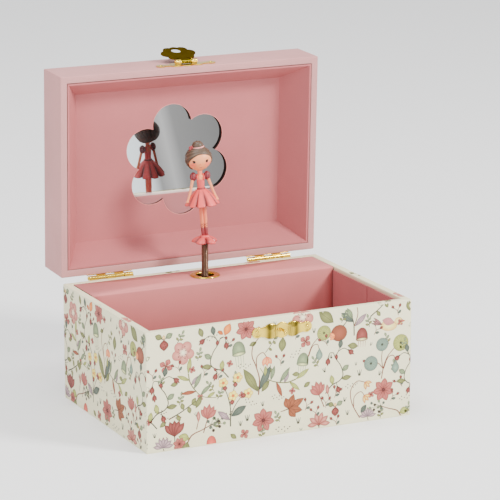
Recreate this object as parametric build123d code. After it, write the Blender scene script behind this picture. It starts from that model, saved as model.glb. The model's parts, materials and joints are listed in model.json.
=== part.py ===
from build123d import *
import math
import os

os.makedirs("parts", exist_ok=True)

# A musical jewellery box: a paper-covered board box with a hinged lid, a mirror in
# the lid, a spring-mounted dancer and a wind-up comb movement behind a partition.
# Origin: centre of the underside. +Z up, the front faces -Y, +X to the right.
# The lid is built closed and then swung open; the dancer stands upright.

# ---------------------------------------------------------------- driving dimensions
WIDTH = 190.0
DEPTH = 137.0
BODY_HEIGHT = 79.0
LID_HEIGHT = 30.0
BOARD = 4.4
PAPER = 0.3
BASE_BOARD = 3.0
LID_TOP_BOARD = 3.0
LINING = 1.0
FLOOR_LINING = 0.8
PAPER_TURN_IN = 4.0
LINING_BELOW_RIM = 2.5
GROOVE_FRONT = -28.5
GROOVE_WIDTH = 11.0
GROOVE_DEPTH = 0.6

LID_GAP = 1.2
LID_OPEN_DEG = 88.0
HINGE_BEHIND = 2.3
HINGE_ABOVE = 0.85

COVER = 2.9
COVER_FRONT = 31.0
COVER_HALF = 89.2
PARTITION = 3.0
GROMMET_OUTER = 10.2
GROMMET_HOLE = 6.2
GROMMET_BARREL = 7.0

TRAY_DEPTH = 20.8
TRAY_SHEET = 1.1
TRAY_PANEL_X = 76.1
TRAY_PANEL_Y = 51.2
PANEL = 2.3
PETALS = 6
PETAL_RADIUS = 14.5
PETAL_OFFSET = 25.0
PETAL_FIRST_DEG = -99.0
PETAL_CENTRE_X = -1.0
MIRROR_HALF = 42.0
MIRROR = 1.5

HINGE_X = 59.5
HINGE_LENGTH = 32.5
HINGE_KNUCKLES = 5
KNUCKLE_R = 1.5
KNUCKLE_GAP = 0.2
HINGE_PIN_R = 0.7
LEAF = 0.8
LEAF_HEIGHT = 11.5

RUNNING = 0.05
NAIL_R = 0.6
NAIL_HEAD_R = 1.25
NAIL_LENGTH = 3.6
SCREW_R = 0.9
SCREW_HEAD_R = 1.8
HINGE_SCREW_LENGTH = 4.5
MOVEMENT_SCREW_R = 1.3
MOVEMENT_SCREW_LENGTH = 6.0
MOVEMENT_SCREW_PLACES = ((-28.0, 14.0), (28.0, 14.0), (0.0, 67.0))

HASP_X = -1.5
HASP_ABOVE_RIM = 7.0
HASP_STANDOFF = 2.5
HASP_REST_DEG = 167.0
HASP_PIN_R = 0.6
HASP_KNUCKLE = 7.4
HASP_EAR = 3.9
HASP_HOLE_R = 3.4
HASP_HOLE_AT = 17.0
CATCH_BELOW_RIM = 9.0
CATCH_HALF = 17.8
HASP_HALF = 18.4

FIGURE_Y = 47.5
FIGURE_TURN_DEG = -15.0
FIGURE_LEAN_DEG = -4.2
SPRING_R = 2.4
SPRING_BORE = 1.3
SPRING_LOW = 68.3
SPRING_EXPOSED = 22.5
FLOWER_TOP = 5.0
FLOWER_STEM_R = 3.2
SHOE_LOW = 5.5
SHOE_HIGH = 11.4
HEM_Z = 27.3
HEM_R = 11.9
WAIST_Z = 38.0
WAIST_R = 3.0
SHOULDER_Z = 47.6
HEAD_Z = 58.4
HEAD_R = 8.2
HAIR_R = 8.8
CHIN_Z = 50.3
BUN_Z = 67.4
BUN_R = 3.4
LEG_X = 1.3
SLEEVE_X = 4.75
SLEEVE_Z = 46.6

DRUM_R = 6.3
DRUM_LOW = 40.0
DRUM_HIGH = 60.0
PIN_REACH = 0.7
PIN_R = 0.28
SPINDLE_R = 1.2
COMB_TEETH = 18
COMB_PITCH = 1.0
COMB_GAP = 0.3
COMB_SCREW_X = -27.0
COMB_SCREW_Z = (44.5, 55.5)
ARBOR_Z = 22.0
ARBOR_R = 2.0
ARBOR_END = 72.0
CROWN_TEETH = 40
CROWN_MODULE = 0.6
CROWN_PINION = 12
TRAIN_MODULE = 0.5
DRUM_GEAR = 36
TRAIN_PINION = 12
WORM_WHEEL = 24
WORM_R = 1.9

# ---------------------------------------------------------------- derived positions
HALF_W = WIDTH / 2
HALF_D = DEPTH / 2
IN_X = HALF_W - PAPER - BOARD
IN_Y = HALF_D - PAPER - BOARD
LINED_X = IN_X - PAPER
LINED_Y = IN_Y - PAPER
HINGE_Y = HALF_D + HINGE_BEHIND
HINGE_Z = BODY_HEIGHT + HINGE_ABOVE
LID_LOW = BODY_HEIGHT + LID_GAP
LID_HIGH = LID_LOW + LID_HEIGHT
COVER_TOP = BODY_HEIGHT
COVER_LOW = COVER_TOP - COVER
FLOOR = PAPER + BASE_BOARD
PANEL_LOW = LID_LOW + TRAY_DEPTH
FRONT = -HALF_D
FIGURE_FOOT = COVER_TOP + SPRING_EXPOSED
CATCH_Z = BODY_HEIGHT - CATCH_BELOW_RIM
HASP_Y = FRONT - HASP_STANDOFF
HASP_Z = LID_LOW + HASP_ABOVE_RIM
BEDPLATE_BACK = IN_Y
BEDPLATE_FRONT = IN_Y - 1.6
GOVERNOR_X = TRAIN_MODULE * (DRUM_GEAR + TRAIN_PINION) / 2
WORM_WHEEL_R = TRAIN_MODULE * WORM_WHEEL / 2
WORM_X = GOVERNOR_X + WORM_WHEEL_R + WORM_R
WORM_Z = 37.6
WORM_ARM = FIGURE_Y - 12.4
WORM_BEARING = BEDPLATE_FRONT - 2.0
CROWN_BACK = FIGURE_Y - 5.6
HOUSING_FRONT = COVER_FRONT + PARTITION + 0.6
HOUSING_BACK = CROWN_BACK - 0.4
CROWN_R = CROWN_MODULE * CROWN_TEETH / 2
CROWN_PINION_R = CROWN_MODULE * CROWN_PINION / 2

UP = (Align.CENTER, Align.CENTER, Align.MIN)
LID_HINGE = Axis((0, HINGE_Y, HINGE_Z), (1, 0, 0))
HASP_HINGE = Axis((0, HASP_Y, HASP_Z), (1, 0, 0))


# ---------------------------------------------------------------- helpers
def block(x, y, z):
    """A box between three (low, high) pairs."""
    size = [high - low for low, high in (x, y, z)]
    middle = [(high + low) / 2 for low, high in (x, y, z)]
    return Pos(*middle) * Box(*size)


def rod(start, direction, radius, length):
    """A cylinder that starts at a point and runs along a direction."""
    return Plane(origin=start, z_dir=direction) * Cylinder(radius, length, align=UP)


def both_sides(shape):
    """The shape and its mirror image across the middle plane X = 0."""
    return [shape, mirror(shape, Plane.YZ)]


def swing_open(shape):
    """A lid piece, drawn closed, turned to the open position."""
    return shape.rotate(LID_HINGE, -LID_OPEN_DEG)


def save(name, shape, in_lid=False):
    """Write one node; a list is a group of separate solids."""
    solids = shape if isinstance(shape, list) else [shape]
    if in_lid:
        solids = [swing_open(solid) for solid in solids]
    found = [solid for item in solids for solid in item.solids()]
    whole = found[0] if len(found) == 1 else Compound(children=found)
    whole.label = name
    export_step(whole, f"parts/{name}.step")


def domed_pin(start, direction, shank_r, shank, head_r, head):
    """A nail or screw: shank along the direction, domed head behind its start."""
    back = tuple(-c for c in direction)
    ball_r = (head_r**2 + head**2) / (2 * head)
    ball = Pos(0, 0, head - ball_r) * Sphere(ball_r)
    cap = ball & Cylinder(head_r + 1, 2 * head, align=UP)
    return rod(start, direction, shank_r, shank) + Plane(origin=start, z_dir=back) * cap


def gear_face(teeth, root_r, tip_r, root_width, tip_width, first_deg=0.0):
    """A gear outline with straight-flanked teeth; one tooth at first_deg."""
    points = []
    for k in range(teeth):
        middle = math.radians(first_deg) + 2 * math.pi * k / teeth
        corners = (
            (root_r, -root_width / 2),
            (tip_r, -tip_width / 2),
            (tip_r, tip_width / 2),
            (root_r, root_width / 2),
        )
        for radius, across in corners:
            angle = middle + across / radius
            points.append((radius * math.cos(angle), radius * math.sin(angle)))
    return make_face(Polyline(*points, close=True))


def spur_gear(teeth, module, low, high, first_deg=0.0):
    """A spur gear on the Z axis with ample backlash."""
    pitch_r = teeth * module / 2
    root_r = pitch_r - 1.15 * module
    tip_r = pitch_r + 0.85 * module
    face = gear_face(teeth, root_r, tip_r, 2.0 * module, 0.66 * module, first_deg)
    return Pos(0, 0, low) * extrude(face, high - low)


# ---------------------------------------------------------------- box body
def screw_places():
    """Hinge screws (x, distance from the closed rim) on each leaf."""
    return [(side * HINGE_X + dx, 7.2) for side in (-1, 1) for dx in (-11.0, 0.0, 11.0)]


def hinge_shank(x, z, radius):
    return rod((x, HALF_D + LEAF, z), (0, -1, 0), radius, HINGE_SCREW_LENGTH)


def hinge_screw(x, z):
    return domed_pin((x, HALF_D + LEAF, z), (0, -1, 0), SCREW_R, HINGE_SCREW_LENGTH, SCREW_HEAD_R, 0.8)


def body_hinge_shanks(radius):
    return [hinge_shank(x, BODY_HEIGHT - drop, radius) for x, drop in screw_places()]


def lid_hinge_shanks(radius):
    return [hinge_shank(x, LID_LOW + rise, radius) for x, rise in screw_places()]


def movement_screw_shanks():
    return [
        rod((x, HALF_D, z), (0, -1, 0), MOVEMENT_SCREW_R, MOVEMENT_SCREW_LENGTH)
        for x, z in MOVEMENT_SCREW_PLACES
    ]


KEY_HOLE = rod((0, HALF_D + 1, ARBOR_Z), (0, -1, 0), ARBOR_R + 1.6, 8.0)
CATCH_NAILS = [
    rod((side * CATCH_HALF, FRONT - LEAF, CATCH_Z), (0, 1, 0), NAIL_R, NAIL_LENGTH) for side in (-1, 1)
]
HASP_NAILS = [
    rod((HASP_X + side * HASP_HALF, FRONT - LEAF, HASP_Z), (0, 1, 0), NAIL_R, NAIL_LENGTH) for side in (-1, 1)
]
CATCH_RIVET = rod((0, FRONT - LEAF, CATCH_Z), (0, 1, 0), 0.9, 3.0)


def build_body():
    tall = (PAPER, BODY_HEIGHT - PAPER)
    across = (-HALF_W + PAPER, HALF_W - PAPER)
    between = (-IN_Y, IN_Y)
    save("base_board", block((-IN_X, IN_X), between, (PAPER, FLOOR)))
    front = block(across, (-HALF_D + PAPER, -IN_Y), tall)
    save("front_board", front - CATCH_NAILS - CATCH_RIVET)
    back = block(across, (IN_Y, HALF_D - PAPER), tall)
    back = back - body_hinge_shanks(SCREW_R) - movement_screw_shanks() - KEY_HOLE
    save("back_board", back)
    save("left_board", block((-HALF_W + PAPER, -IN_X), between, tall))
    save("right_board", block((IN_X, HALF_W - PAPER), between, tall))
    save("base_paper", block(across, (-HALF_D + PAPER, HALF_D - PAPER), (0, PAPER)))
    build_body_wrap(across, tall)
    build_linings()


def build_body_wrap(across, tall):
    """Printed paper: outside, over the rim and a few millimetres down the inside."""
    wrap = block((-HALF_W, HALF_W), (-HALF_D, HALF_D), (0, BODY_HEIGHT))
    wrap -= block(across, (-HALF_D + PAPER, HALF_D - PAPER), (0, tall[1]))
    wrap -= block((-LINED_X, LINED_X), (-LINED_Y, LINED_Y), tall)
    wrap -= block((-LINED_X, LINED_X), (-LINED_Y, LINED_Y), (tall[1] - 1, BODY_HEIGHT))
    turn_in = (BODY_HEIGHT - PAPER_TURN_IN, BODY_HEIGHT - PAPER)
    band = block((-IN_X, IN_X), (-IN_Y, IN_Y), turn_in)
    band -= block((-LINED_X, LINED_X), (-LINED_Y, LINED_Y), turn_in)
    wrap = wrap + band
    wrap = wrap - body_hinge_shanks(SCREW_R) - movement_screw_shanks() - KEY_HOLE
    save("body_wrap_paper", wrap - CATCH_NAILS - CATCH_RIVET)


def build_linings():
    """Plain card linings of the front compartment; the sides have a divider groove."""
    top = BODY_HEIGHT - LINING_BELOW_RIM
    low = FLOOR + FLOOR_LINING
    inner_x = LINED_X - LINING
    floor = block((-LINED_X, LINED_X), (-LINED_Y, COVER_FRONT), (FLOOR, low))
    save("floor_lining", floor)
    save("front_lining", block((-inner_x, inner_x), (-LINED_Y, -LINED_Y + LINING), (low, top)))
    side = block((inner_x, LINED_X), (-LINED_Y, COVER_FRONT - 0.2), (low, top))
    groove_y = (GROOVE_FRONT, GROOVE_FRONT + GROOVE_WIDTH)
    side -= block((inner_x, inner_x + GROOVE_DEPTH), groove_y, (low, top))
    save("right_lining", side)
    save("left_lining", mirror(side, Plane.YZ))


def build_cover():
    """The partition and cover that close off the movement, and the grommet."""
    half = (-COVER_HALF, COVER_HALF)
    save("mechanism_partition", block(half, (COVER_FRONT, COVER_FRONT + PARTITION), (FLOOR, COVER_LOW)))
    cover = block(half, (COVER_FRONT, LINED_Y - 0.2), (COVER_LOW, COVER_TOP))
    cover -= rod((0, FIGURE_Y, COVER_LOW), (0, 0, 1), GROMMET_BARREL, COVER)
    save("mechanism_cover", cover)
    profile = Plane.XZ * make_face(
        Polyline(
            (GROMMET_HOLE, COVER_LOW - 1.0),
            (GROMMET_BARREL, COVER_LOW - 1.0),
            (GROMMET_BARREL, COVER_TOP),
            (GROMMET_OUTER, COVER_TOP),
            (GROMMET_OUTER, COVER_TOP + 0.35),
            (GROMMET_OUTER - 0.9, COVER_TOP + 1.1),
            (GROMMET_HOLE + 0.9, COVER_TOP + 1.1),
            (GROMMET_HOLE, COVER_TOP + 0.35),
            close=True,
        )
    )
    save("grommet", Pos(0, FIGURE_Y, 0) * revolve(profile, Axis.Z))


# ---------------------------------------------------------------- lid
def build_lid():
    wall = (LID_LOW + PAPER, LID_HIGH - PAPER - LID_TOP_BOARD)
    across = (-HALF_W + PAPER, HALF_W - PAPER)
    deep = (-HALF_D + PAPER, HALF_D - PAPER)
    top = block(across, deep, (wall[1], LID_HIGH - PAPER))
    save("lid_top_board", top, in_lid=True)
    save("lid_front_board", block(across, (deep[0], -IN_Y), wall) - HASP_NAILS, in_lid=True)
    back = block(across, (IN_Y, deep[1]), wall) - lid_hinge_shanks(SCREW_R)
    save("lid_back_board", back, in_lid=True)
    save("lid_left_board", block((across[0], -IN_X), (-IN_Y, IN_Y), wall), in_lid=True)
    save("lid_right_board", block((IN_X, across[1]), (-IN_Y, IN_Y), wall), in_lid=True)
    wrap = block((-HALF_W, HALF_W), (-HALF_D, HALF_D), (LID_LOW, LID_HIGH))
    wrap -= block(across, deep, (LID_LOW + PAPER, LID_HIGH - PAPER))
    wrap -= block((-IN_X, IN_X), (-IN_Y, IN_Y), (LID_LOW, LID_LOW + PAPER))
    save("lid_wrap_paper", wrap - lid_hinge_shanks(SCREW_R) - HASP_NAILS, in_lid=True)
    build_lid_tray(wall[1])


def frustum(low_half, high_half, low, high):
    """A solid between two centred rectangles at two heights."""
    lower = Plane.XY.offset(low) * Rectangle(2 * low_half[0], 2 * low_half[1])
    upper = Plane.XY.offset(high) * Rectangle(2 * high_half[0], 2 * high_half[1])
    return loft([lower, upper])


def build_lid_tray(ceiling):
    """Sloping lining with a flower cut-out in its panel and a mirror behind it."""
    rim_half = (IN_X - 0.4, IN_Y - 0.4)
    panel_half = (TRAY_PANEL_X, TRAY_PANEL_Y)
    low = LID_LOW + PAPER
    outer = frustum(rim_half, [h + TRAY_SHEET for h in panel_half], low, PANEL_LOW)
    inner = frustum([h - TRAY_SHEET for h in rim_half], panel_half, low, PANEL_LOW)
    save("lid_tray", outer - inner, in_lid=True)
    x_half, y_half = (h + TRAY_SHEET for h in panel_half)
    panel_high = PANEL_LOW + PANEL
    panel = block((-x_half, x_half), (-y_half, y_half), (PANEL_LOW, panel_high))
    panel -= rod((PETAL_CENTRE_X, 0, PANEL_LOW), (0, 0, 1), PETAL_OFFSET, PANEL)
    for k in range(PETALS):
        angle = math.radians(PETAL_FIRST_DEG + 360 * k / PETALS)
        across = PETAL_CENTRE_X + PETAL_OFFSET * math.cos(angle)
        along = PETAL_OFFSET * math.sin(angle)
        panel -= rod((across, along, PANEL_LOW), (0, 0, 1), PETAL_RADIUS, PANEL)
    save("mirror_panel", panel, in_lid=True)
    square = (-MIRROR_HALF, MIRROR_HALF)
    mirror_high = panel_high + MIRROR
    save("mirror", block(square, square, (panel_high, mirror_high)), in_lid=True)
    pad = (-MIRROR_HALF + 3, MIRROR_HALF - 3)
    save("mirror_backing", block(pad, pad, (mirror_high, ceiling)), in_lid=True)


# ---------------------------------------------------------------- lid hinges
def knuckle_spans():
    """X spans of the knuckles of one hinge, measured from its centre."""
    pitch = HINGE_LENGTH / HINGE_KNUCKLES
    start = -HINGE_LENGTH / 2
    return [
        (start + k * pitch + KNUCKLE_GAP / 2, start + (k + 1) * pitch - KNUCKLE_GAP / 2)
        for k in range(HINGE_KNUCKLES)
    ]


def hinge_leaf(side, first, direction, bore):
    """One leaf of the hinge at X = side * HINGE_X, with every second knuckle."""
    centre = side * HINGE_X
    near = HINGE_Z + direction * (KNUCKLE_R + 0.15)
    far = HINGE_Z + direction * (LEAF_HEIGHT + 1.0)
    plate_x = (centre - HINGE_LENGTH / 2, centre + HINGE_LENGTH / 2)
    leaf = block(plate_x, (HALF_D, HALF_D + LEAF), sorted((near, far)))
    for low, high in knuckle_spans()[first::2]:
        span = (centre + low, centre + high)
        leaf += rod((span[0], HINGE_Y, HINGE_Z), (1, 0, 0), KNUCKLE_R, high - low)
        web_z = sorted((HINGE_Z + direction * 0.2, near + direction * 0.6))
        leaf += block(span, (HALF_D, HALF_D + LEAF + 0.5), web_z)
    pin_hole = rod((plate_x[0] - 1, HINGE_Y, HINGE_Z), (1, 0, 0), bore, HINGE_LENGTH + 2)
    return leaf - pin_hole


def build_hinges():
    lower = [hinge_leaf(side, 0, -1, HINGE_PIN_R) - body_hinge_shanks(SCREW_R) for side in (-1, 1)]
    upper = [hinge_leaf(side, 1, 1, HINGE_PIN_R + RUNNING) - lid_hinge_shanks(SCREW_R) for side in (-1, 1)]
    save("hinge_body_leaves", lower)
    save("hinge_lid_leaves", upper, in_lid=True)
    start = HINGE_X - HINGE_LENGTH / 2 - 0.3
    pin = rod((start, HINGE_Y, HINGE_Z), (1, 0, 0), HINGE_PIN_R, HINGE_LENGTH + 0.6)
    save("hinge_pins", both_sides(pin))
    for name, reach, in_lid in (("body_hinge_screws", -1, False), ("lid_hinge_screws", 1, True)):
        rim = LID_LOW if in_lid else BODY_HEIGHT
        save(name, [hinge_screw(x, rim + reach * off) for x, off in screw_places()], in_lid)


# ---------------------------------------------------------------- hasp and catch
def scroll_plate(half, lobe_r, centre_r, height):
    """A symmetric ornate plate outline: end lobes, waisted arms, full middle."""
    face = Rectangle(2 * half, height * 0.42)
    face += Circle(centre_r)
    for side in (-1, 1):
        face += Pos(side * half, 0) * Circle(lobe_r)
        face += Pos(side * half * 0.42, 0) * Ellipse(half * 0.26, height * 0.46)
    return face


def front_plate(face, middle_x, middle_z):
    """A sheet-metal plate lying on the front face, LEAF thick."""
    place = Plane(origin=(middle_x, FRONT, middle_z), x_dir=(1, 0, 0), z_dir=(0, -1, 0))
    return place * extrude(face, LEAF)


def build_catch():
    plate = front_plate(scroll_plate(CATCH_HALF, 3.5, 5.2, 10.8), 0, CATCH_Z)
    boss_r, boss_rise = 4.2, 0.6
    ball_r = (boss_r**2 + boss_rise**2) / (2 * boss_rise)
    surface = FRONT - LEAF
    for side in (-1, 1):
        ball = Pos(side * CATCH_HALF * 0.42, surface + ball_r - boss_rise, CATCH_Z) * Sphere(ball_r)
        plate += ball & block((-20, 20), (surface - 2, surface), (CATCH_Z - 6, CATCH_Z + 6))
    save("catch_plate", plate - CATCH_NAILS - CATCH_RIVET)
    save("catch_nails", [nail((side * CATCH_HALF, surface, CATCH_Z)) for side in (-1, 1)])
    hook_r, reach, bend = 0.9, 3.2, 1.1
    hook = CATCH_RIVET + rod((0, surface, CATCH_Z), (0, -1, 0), hook_r, reach)
    profile = Plane(origin=(0, surface - reach, CATCH_Z), z_dir=(0, -1, 0)) * Circle(hook_r)
    pivot = Axis((0, surface - reach, CATCH_Z - bend), (1, 0, 0))
    hook += revolve(profile, pivot, 90)
    hook += rod((0, surface - reach - bend, CATCH_Z - bend), (0, 0, -1), hook_r, 1.0)
    save("catch_hook", hook)


def nail(head):
    return domed_pin(head, (0, 1, 0), NAIL_R, NAIL_LENGTH, NAIL_HEAD_R, 0.5)


def hasp_rod(half, radius):
    """A rod on the hasp's hinge line, half long on each side of its middle."""
    return rod((HASP_X - half, HASP_Y, HASP_Z), (1, 0, 0), radius, 2 * half)


def hasp_flap():
    """The ornate flap, hanging straight down from the hasp pin."""
    lobes = [(0, 12.2, 8.0), (8.4, 13.2, 4.1), (5.6, 7.8, 3.8), (4.9, 18.2, 3.9), (0, 18.8, 4.0)]
    face = Pos(0, -2.2) * Rectangle(HASP_KNUCKLE, 4.4)
    for across, down, radius in lobes:
        for side in (-1, 1):
            face += Pos(side * across, -down) * Circle(radius)
    beside_root = Rectangle(40, 4.2) - Rectangle(HASP_KNUCKLE, 5)
    face = face - beside_root - Pos(0, -HASP_HOLE_AT) * Circle(HASP_HOLE_R)
    sheet = Plane(origin=(HASP_X, HASP_Y - LEAF / 2, HASP_Z), x_dir=(-1, 0, 0), z_dir=(0, 1, 0))
    flap = sheet * extrude(face, LEAF)
    flap += hasp_rod(HASP_KNUCKLE / 2, KNUCKLE_R)
    return flap - hasp_rod(9, HASP_PIN_R + RUNNING)


def build_hasp():
    plate = front_plate(scroll_plate(HASP_HALF, 3.2, 5.0, 10.0), HASP_X, HASP_Z)
    inner = HASP_KNUCKLE / 2 + KNUCKLE_GAP
    for low in (HASP_X - inner - HASP_EAR, HASP_X + inner):
        span = (low, low + HASP_EAR)
        plate += rod((low, HASP_Y, HASP_Z), (1, 0, 0), KNUCKLE_R, HASP_EAR)
        plate += block(span, (HASP_Y, FRONT), (HASP_Z - 1.1, HASP_Z + 1.1))
    plate -= hasp_rod(9, HASP_PIN_R)
    save("hasp_plate", plate - HASP_NAILS, in_lid=True)
    save("hasp_pin", hasp_rod(8.3, HASP_PIN_R), in_lid=True)
    nails = [nail((HASP_X + side * HASP_HALF, FRONT - LEAF, HASP_Z)) for side in (-1, 1)]
    save("hasp_nails", nails, in_lid=True)
    save("hasp_flap", hasp_flap().rotate(HASP_HINGE, -HASP_REST_DEG), in_lid=True)


# ---------------------------------------------------------------- movement: frame
def build_bedplate():
    """A cast frame on the back wall: two shelves, the comb block and the worm arm."""
    front = BEDPLATE_FRONT
    plate = block((-34, 34), (front, BEDPLATE_BACK), (7, 72))
    for low, high in ((28.0, 30.0), (65.5, 67.5)):
        plate += block((-5, GOVERNOR_X + 3), (FIGURE_Y - 2.3, front), (low, high))
    plate += block((-32, -22), (FIGURE_Y + 0.4, front), (40, 60))
    for side in (-1, 1):
        plate += rod((side * 16.6, front, ARBOR_Z), (0, -1, 0), 2.0, front - HOUSING_BACK)
    arm_z = (WORM_Z - 2.4, WORM_Z + 2.4)
    plate += block((WORM_X + 6.2, WORM_X + 8.8), (WORM_ARM, front), arm_z)
    plate += block((WORM_X - 2, WORM_X + 8.8), (WORM_ARM, WORM_ARM + 1.4), arm_z)
    plate += block((WORM_X - 2, WORM_X + 2), (WORM_BEARING, front), arm_z)
    plate -= rod((0, FIGURE_Y, 20), (0, 0, 1), SPINDLE_R + RUNNING, 60)
    plate -= rod((GOVERNOR_X, FIGURE_Y, 20), (0, 0, 1), 0.8 + RUNNING, 60)
    plate -= rod((WORM_X, 30, WORM_Z), (0, 1, 0), 0.7 + RUNNING, WORM_BEARING + 1.2 - 30)
    plate -= rod((0, BEDPLATE_BACK + 1, ARBOR_Z), (0, -1, 0), ARBOR_R + RUNNING, 4)
    plate = plate - movement_screw_shanks()
    plate -= [rod((COMB_SCREW_X, 40, z), (0, 1, 0), 1.1, 16) for z in COMB_SCREW_Z]
    save("movement_bedplate", plate)
    screws = [
        domed_pin((x, HALF_D, z), (0, -1, 0), MOVEMENT_SCREW_R, MOVEMENT_SCREW_LENGTH, 2.6, 1.1)
        for x, z in MOVEMENT_SCREW_PLACES
    ]
    save("movement_screws", screws)


def build_comb():
    """The tuned steel comb and its two screws."""
    low = (DRUM_LOW + DRUM_HIGH - COMB_TEETH * COMB_PITCH) / 2
    high = low + COMB_TEETH * COMB_PITCH
    tip = -(DRUM_R + PIN_REACH + 0.25)
    comb = block((-31, tip), (FIGURE_Y - 0.4, FIGURE_Y + 0.4), (low, high))
    for k in range(1, COMB_TEETH):
        gap_z = low + k * COMB_PITCH
        root = -13.5 - 7.0 * (1 - k / COMB_TEETH)
        comb -= block((root, 0), (40, 60), (gap_z - COMB_GAP / 2, gap_z + COMB_GAP / 2))
    comb -= [rod((COMB_SCREW_X, 40, z), (0, 1, 0), 1.1, 16) for z in COMB_SCREW_Z]
    save("comb", comb)
    screws = [
        domed_pin((COMB_SCREW_X, FIGURE_Y - 0.4, z), (0, 1, 0), 1.1, 6.0, 2.2, 1.0) for z in COMB_SCREW_Z
    ]
    save("comb_screws", screws)


def build_mainspring():
    """The fixed spring housing and the coiled strip inside it."""
    front, back, outer = HOUSING_FRONT, HOUSING_BACK, 12.5
    cup = rod((0, front, ARBOR_Z), (0, 1, 0), outer, back - front)
    cup -= rod((0, front + 1, ARBOR_Z), (0, 1, 0), outer - 0.8, back - front)
    for side in (-1, 1):
        x_span = sorted((side * (outer - 0.4), side * 18.8))
        cup += block(x_span, (back - 1.4, back), (ARBOR_Z - 2.4, ARBOR_Z + 2.4))
    cup -= rod((0, front - 1, ARBOR_Z), (0, 1, 0), ARBOR_R + RUNNING, 3)
    save("spring_housing", cup)
    turns, strip, start_r = 8, 0.4, ARBOR_R + 0.35
    growth = (outer - 0.8 - 0.35 - start_r) / turns
    steps = 16 * turns

    def spiral(offset):
        places = []
        for k in range(steps + 1):
            angle = 2 * math.pi * turns * k / steps
            radius = start_r + growth * turns * k / steps + offset
            places.append((radius * math.cos(angle), radius * math.sin(angle)))
        return places

    inner = Spline(*spiral(-strip / 2))
    outer_edge = Spline(*spiral(strip / 2))
    ends = [Line(inner @ 0, outer_edge @ 0), Line(inner @ 1, outer_edge @ 1)]
    face = make_face([inner, outer_edge, *ends])
    place = Plane(origin=(0, front + 1.4, ARBOR_Z), z_dir=(0, 1, 0))
    save("mainspring", place * extrude(face, back - front - 2.0))


# ---------------------------------------------------------------- movement: train
def build_winding():
    """Winding arbor, crown wheel and the key outside the back wall."""
    start = HOUSING_FRONT + 0.4
    save("winding_arbor", rod((0, start, ARBOR_Z), (0, 1, 0), ARBOR_R, ARBOR_END - start))
    thickness, tooth_length = 1.2, 1.4
    disc_high = CROWN_BACK + thickness
    wheel = rod((0, CROWN_BACK, ARBOR_Z), (0, 1, 0), CROWN_R + 1, thickness)
    outline = [(-0.5, -0.1), (0.5, -0.1), (0.24, tooth_length), (-0.24, tooth_length)]
    upright = extrude(make_face(Polyline(*outline, close=True)), 2)
    tooth = Pos(0, disc_high, ARBOR_Z + CROWN_R - 1) * upright
    spin = Axis((0, 0, ARBOR_Z), (0, 1, 0))
    pitch_deg = 360 / CROWN_TEETH
    wheel += [tooth.rotate(spin, (k + 0.5) * pitch_deg) for k in range(CROWN_TEETH)]
    wheel += rod((0, disc_high, ARBOR_Z), (0, 1, 0), 4.0, 3.0)
    save("great_wheel", wheel - rod((0, CROWN_BACK - 1, ARBOR_Z), (0, 1, 0), ARBOR_R, 20))
    build_key()


def build_key():
    """A flat butterfly key on a round socket."""
    socket_low, socket_high = HALF_D + 1.0, HALF_D + 11.0
    key = rod((0, socket_low, ARBOR_Z), (0, 1, 0), 3.4, socket_high - socket_low)
    key -= rod((0, socket_low - 1, ARBOR_Z), (0, 1, 0), ARBOR_R, ARBOR_END - socket_low + 1)
    wing = Pos(0, 5) * Rectangle(7, 10)
    for side in (-1, 1):
        wing += Pos(side * 7.4, 8.6) * Ellipse(6.2, 4.6)
    sheet = Plane(origin=(0, socket_high - 3.5, ARBOR_Z - 0.8), x_dir=(1, 0, 0), z_dir=(0, 0, 1))
    key += sheet * extrude(wing, 1.6)
    save("winding_key", key)


def build_drum():
    """The pinned drum, its spindle with the lower pinion, and the top gear."""
    spindle = rod((0, FIGURE_Y, 28.2), (0, 0, 1), SPINDLE_R, 44.0)
    pinion = gear_face(
        CROWN_PINION, CROWN_PINION_R - 0.8, CROWN_PINION_R + 0.45, 1.1, 0.44, first_deg=-90
    )
    spindle += Pos(0, FIGURE_Y, 32.0) * extrude(pinion, 4.0)
    spindle += rod((0, FIGURE_Y, 30.2), (0, 0, 1), 2.0, 2.0)
    save("drum_spindle", spindle)
    drum = rod((0, 0, DRUM_LOW), (0, 0, 1), DRUM_R, DRUM_HIGH - DRUM_LOW)
    first_row = (DRUM_LOW + DRUM_HIGH - (COMB_TEETH - 1) * COMB_PITCH) / 2
    per_row, skip_deg = 4, 137.5
    pins = []
    for k in range(COMB_TEETH * per_row):
        angle = math.radians(k * skip_deg)
        outward = (math.cos(angle), math.sin(angle), 0)
        start = (5.0 * outward[0], 5.0 * outward[1], first_row + COMB_PITCH * (k % COMB_TEETH))
        pins.append(rod(start, outward, PIN_R, DRUM_R + PIN_REACH - 5.0))
    drum = drum + pins
    drum -= rod((0, 0, DRUM_LOW), (0, 0, 1), SPINDLE_R, DRUM_HIGH - DRUM_LOW)
    save("drum", Pos(0, FIGURE_Y, 0) * drum)
    gear = spur_gear(DRUM_GEAR, TRAIN_MODULE, 61.4, 63.0)
    gear += rod((0, 0, DRUM_HIGH), (0, 0, 1), 3.2, 1.4)
    gear -= rod((0, 0, DRUM_HIGH), (0, 0, 1), SPINDLE_R, 5)
    save("drum_gear", Pos(0, FIGURE_Y, 0) * gear)


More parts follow.
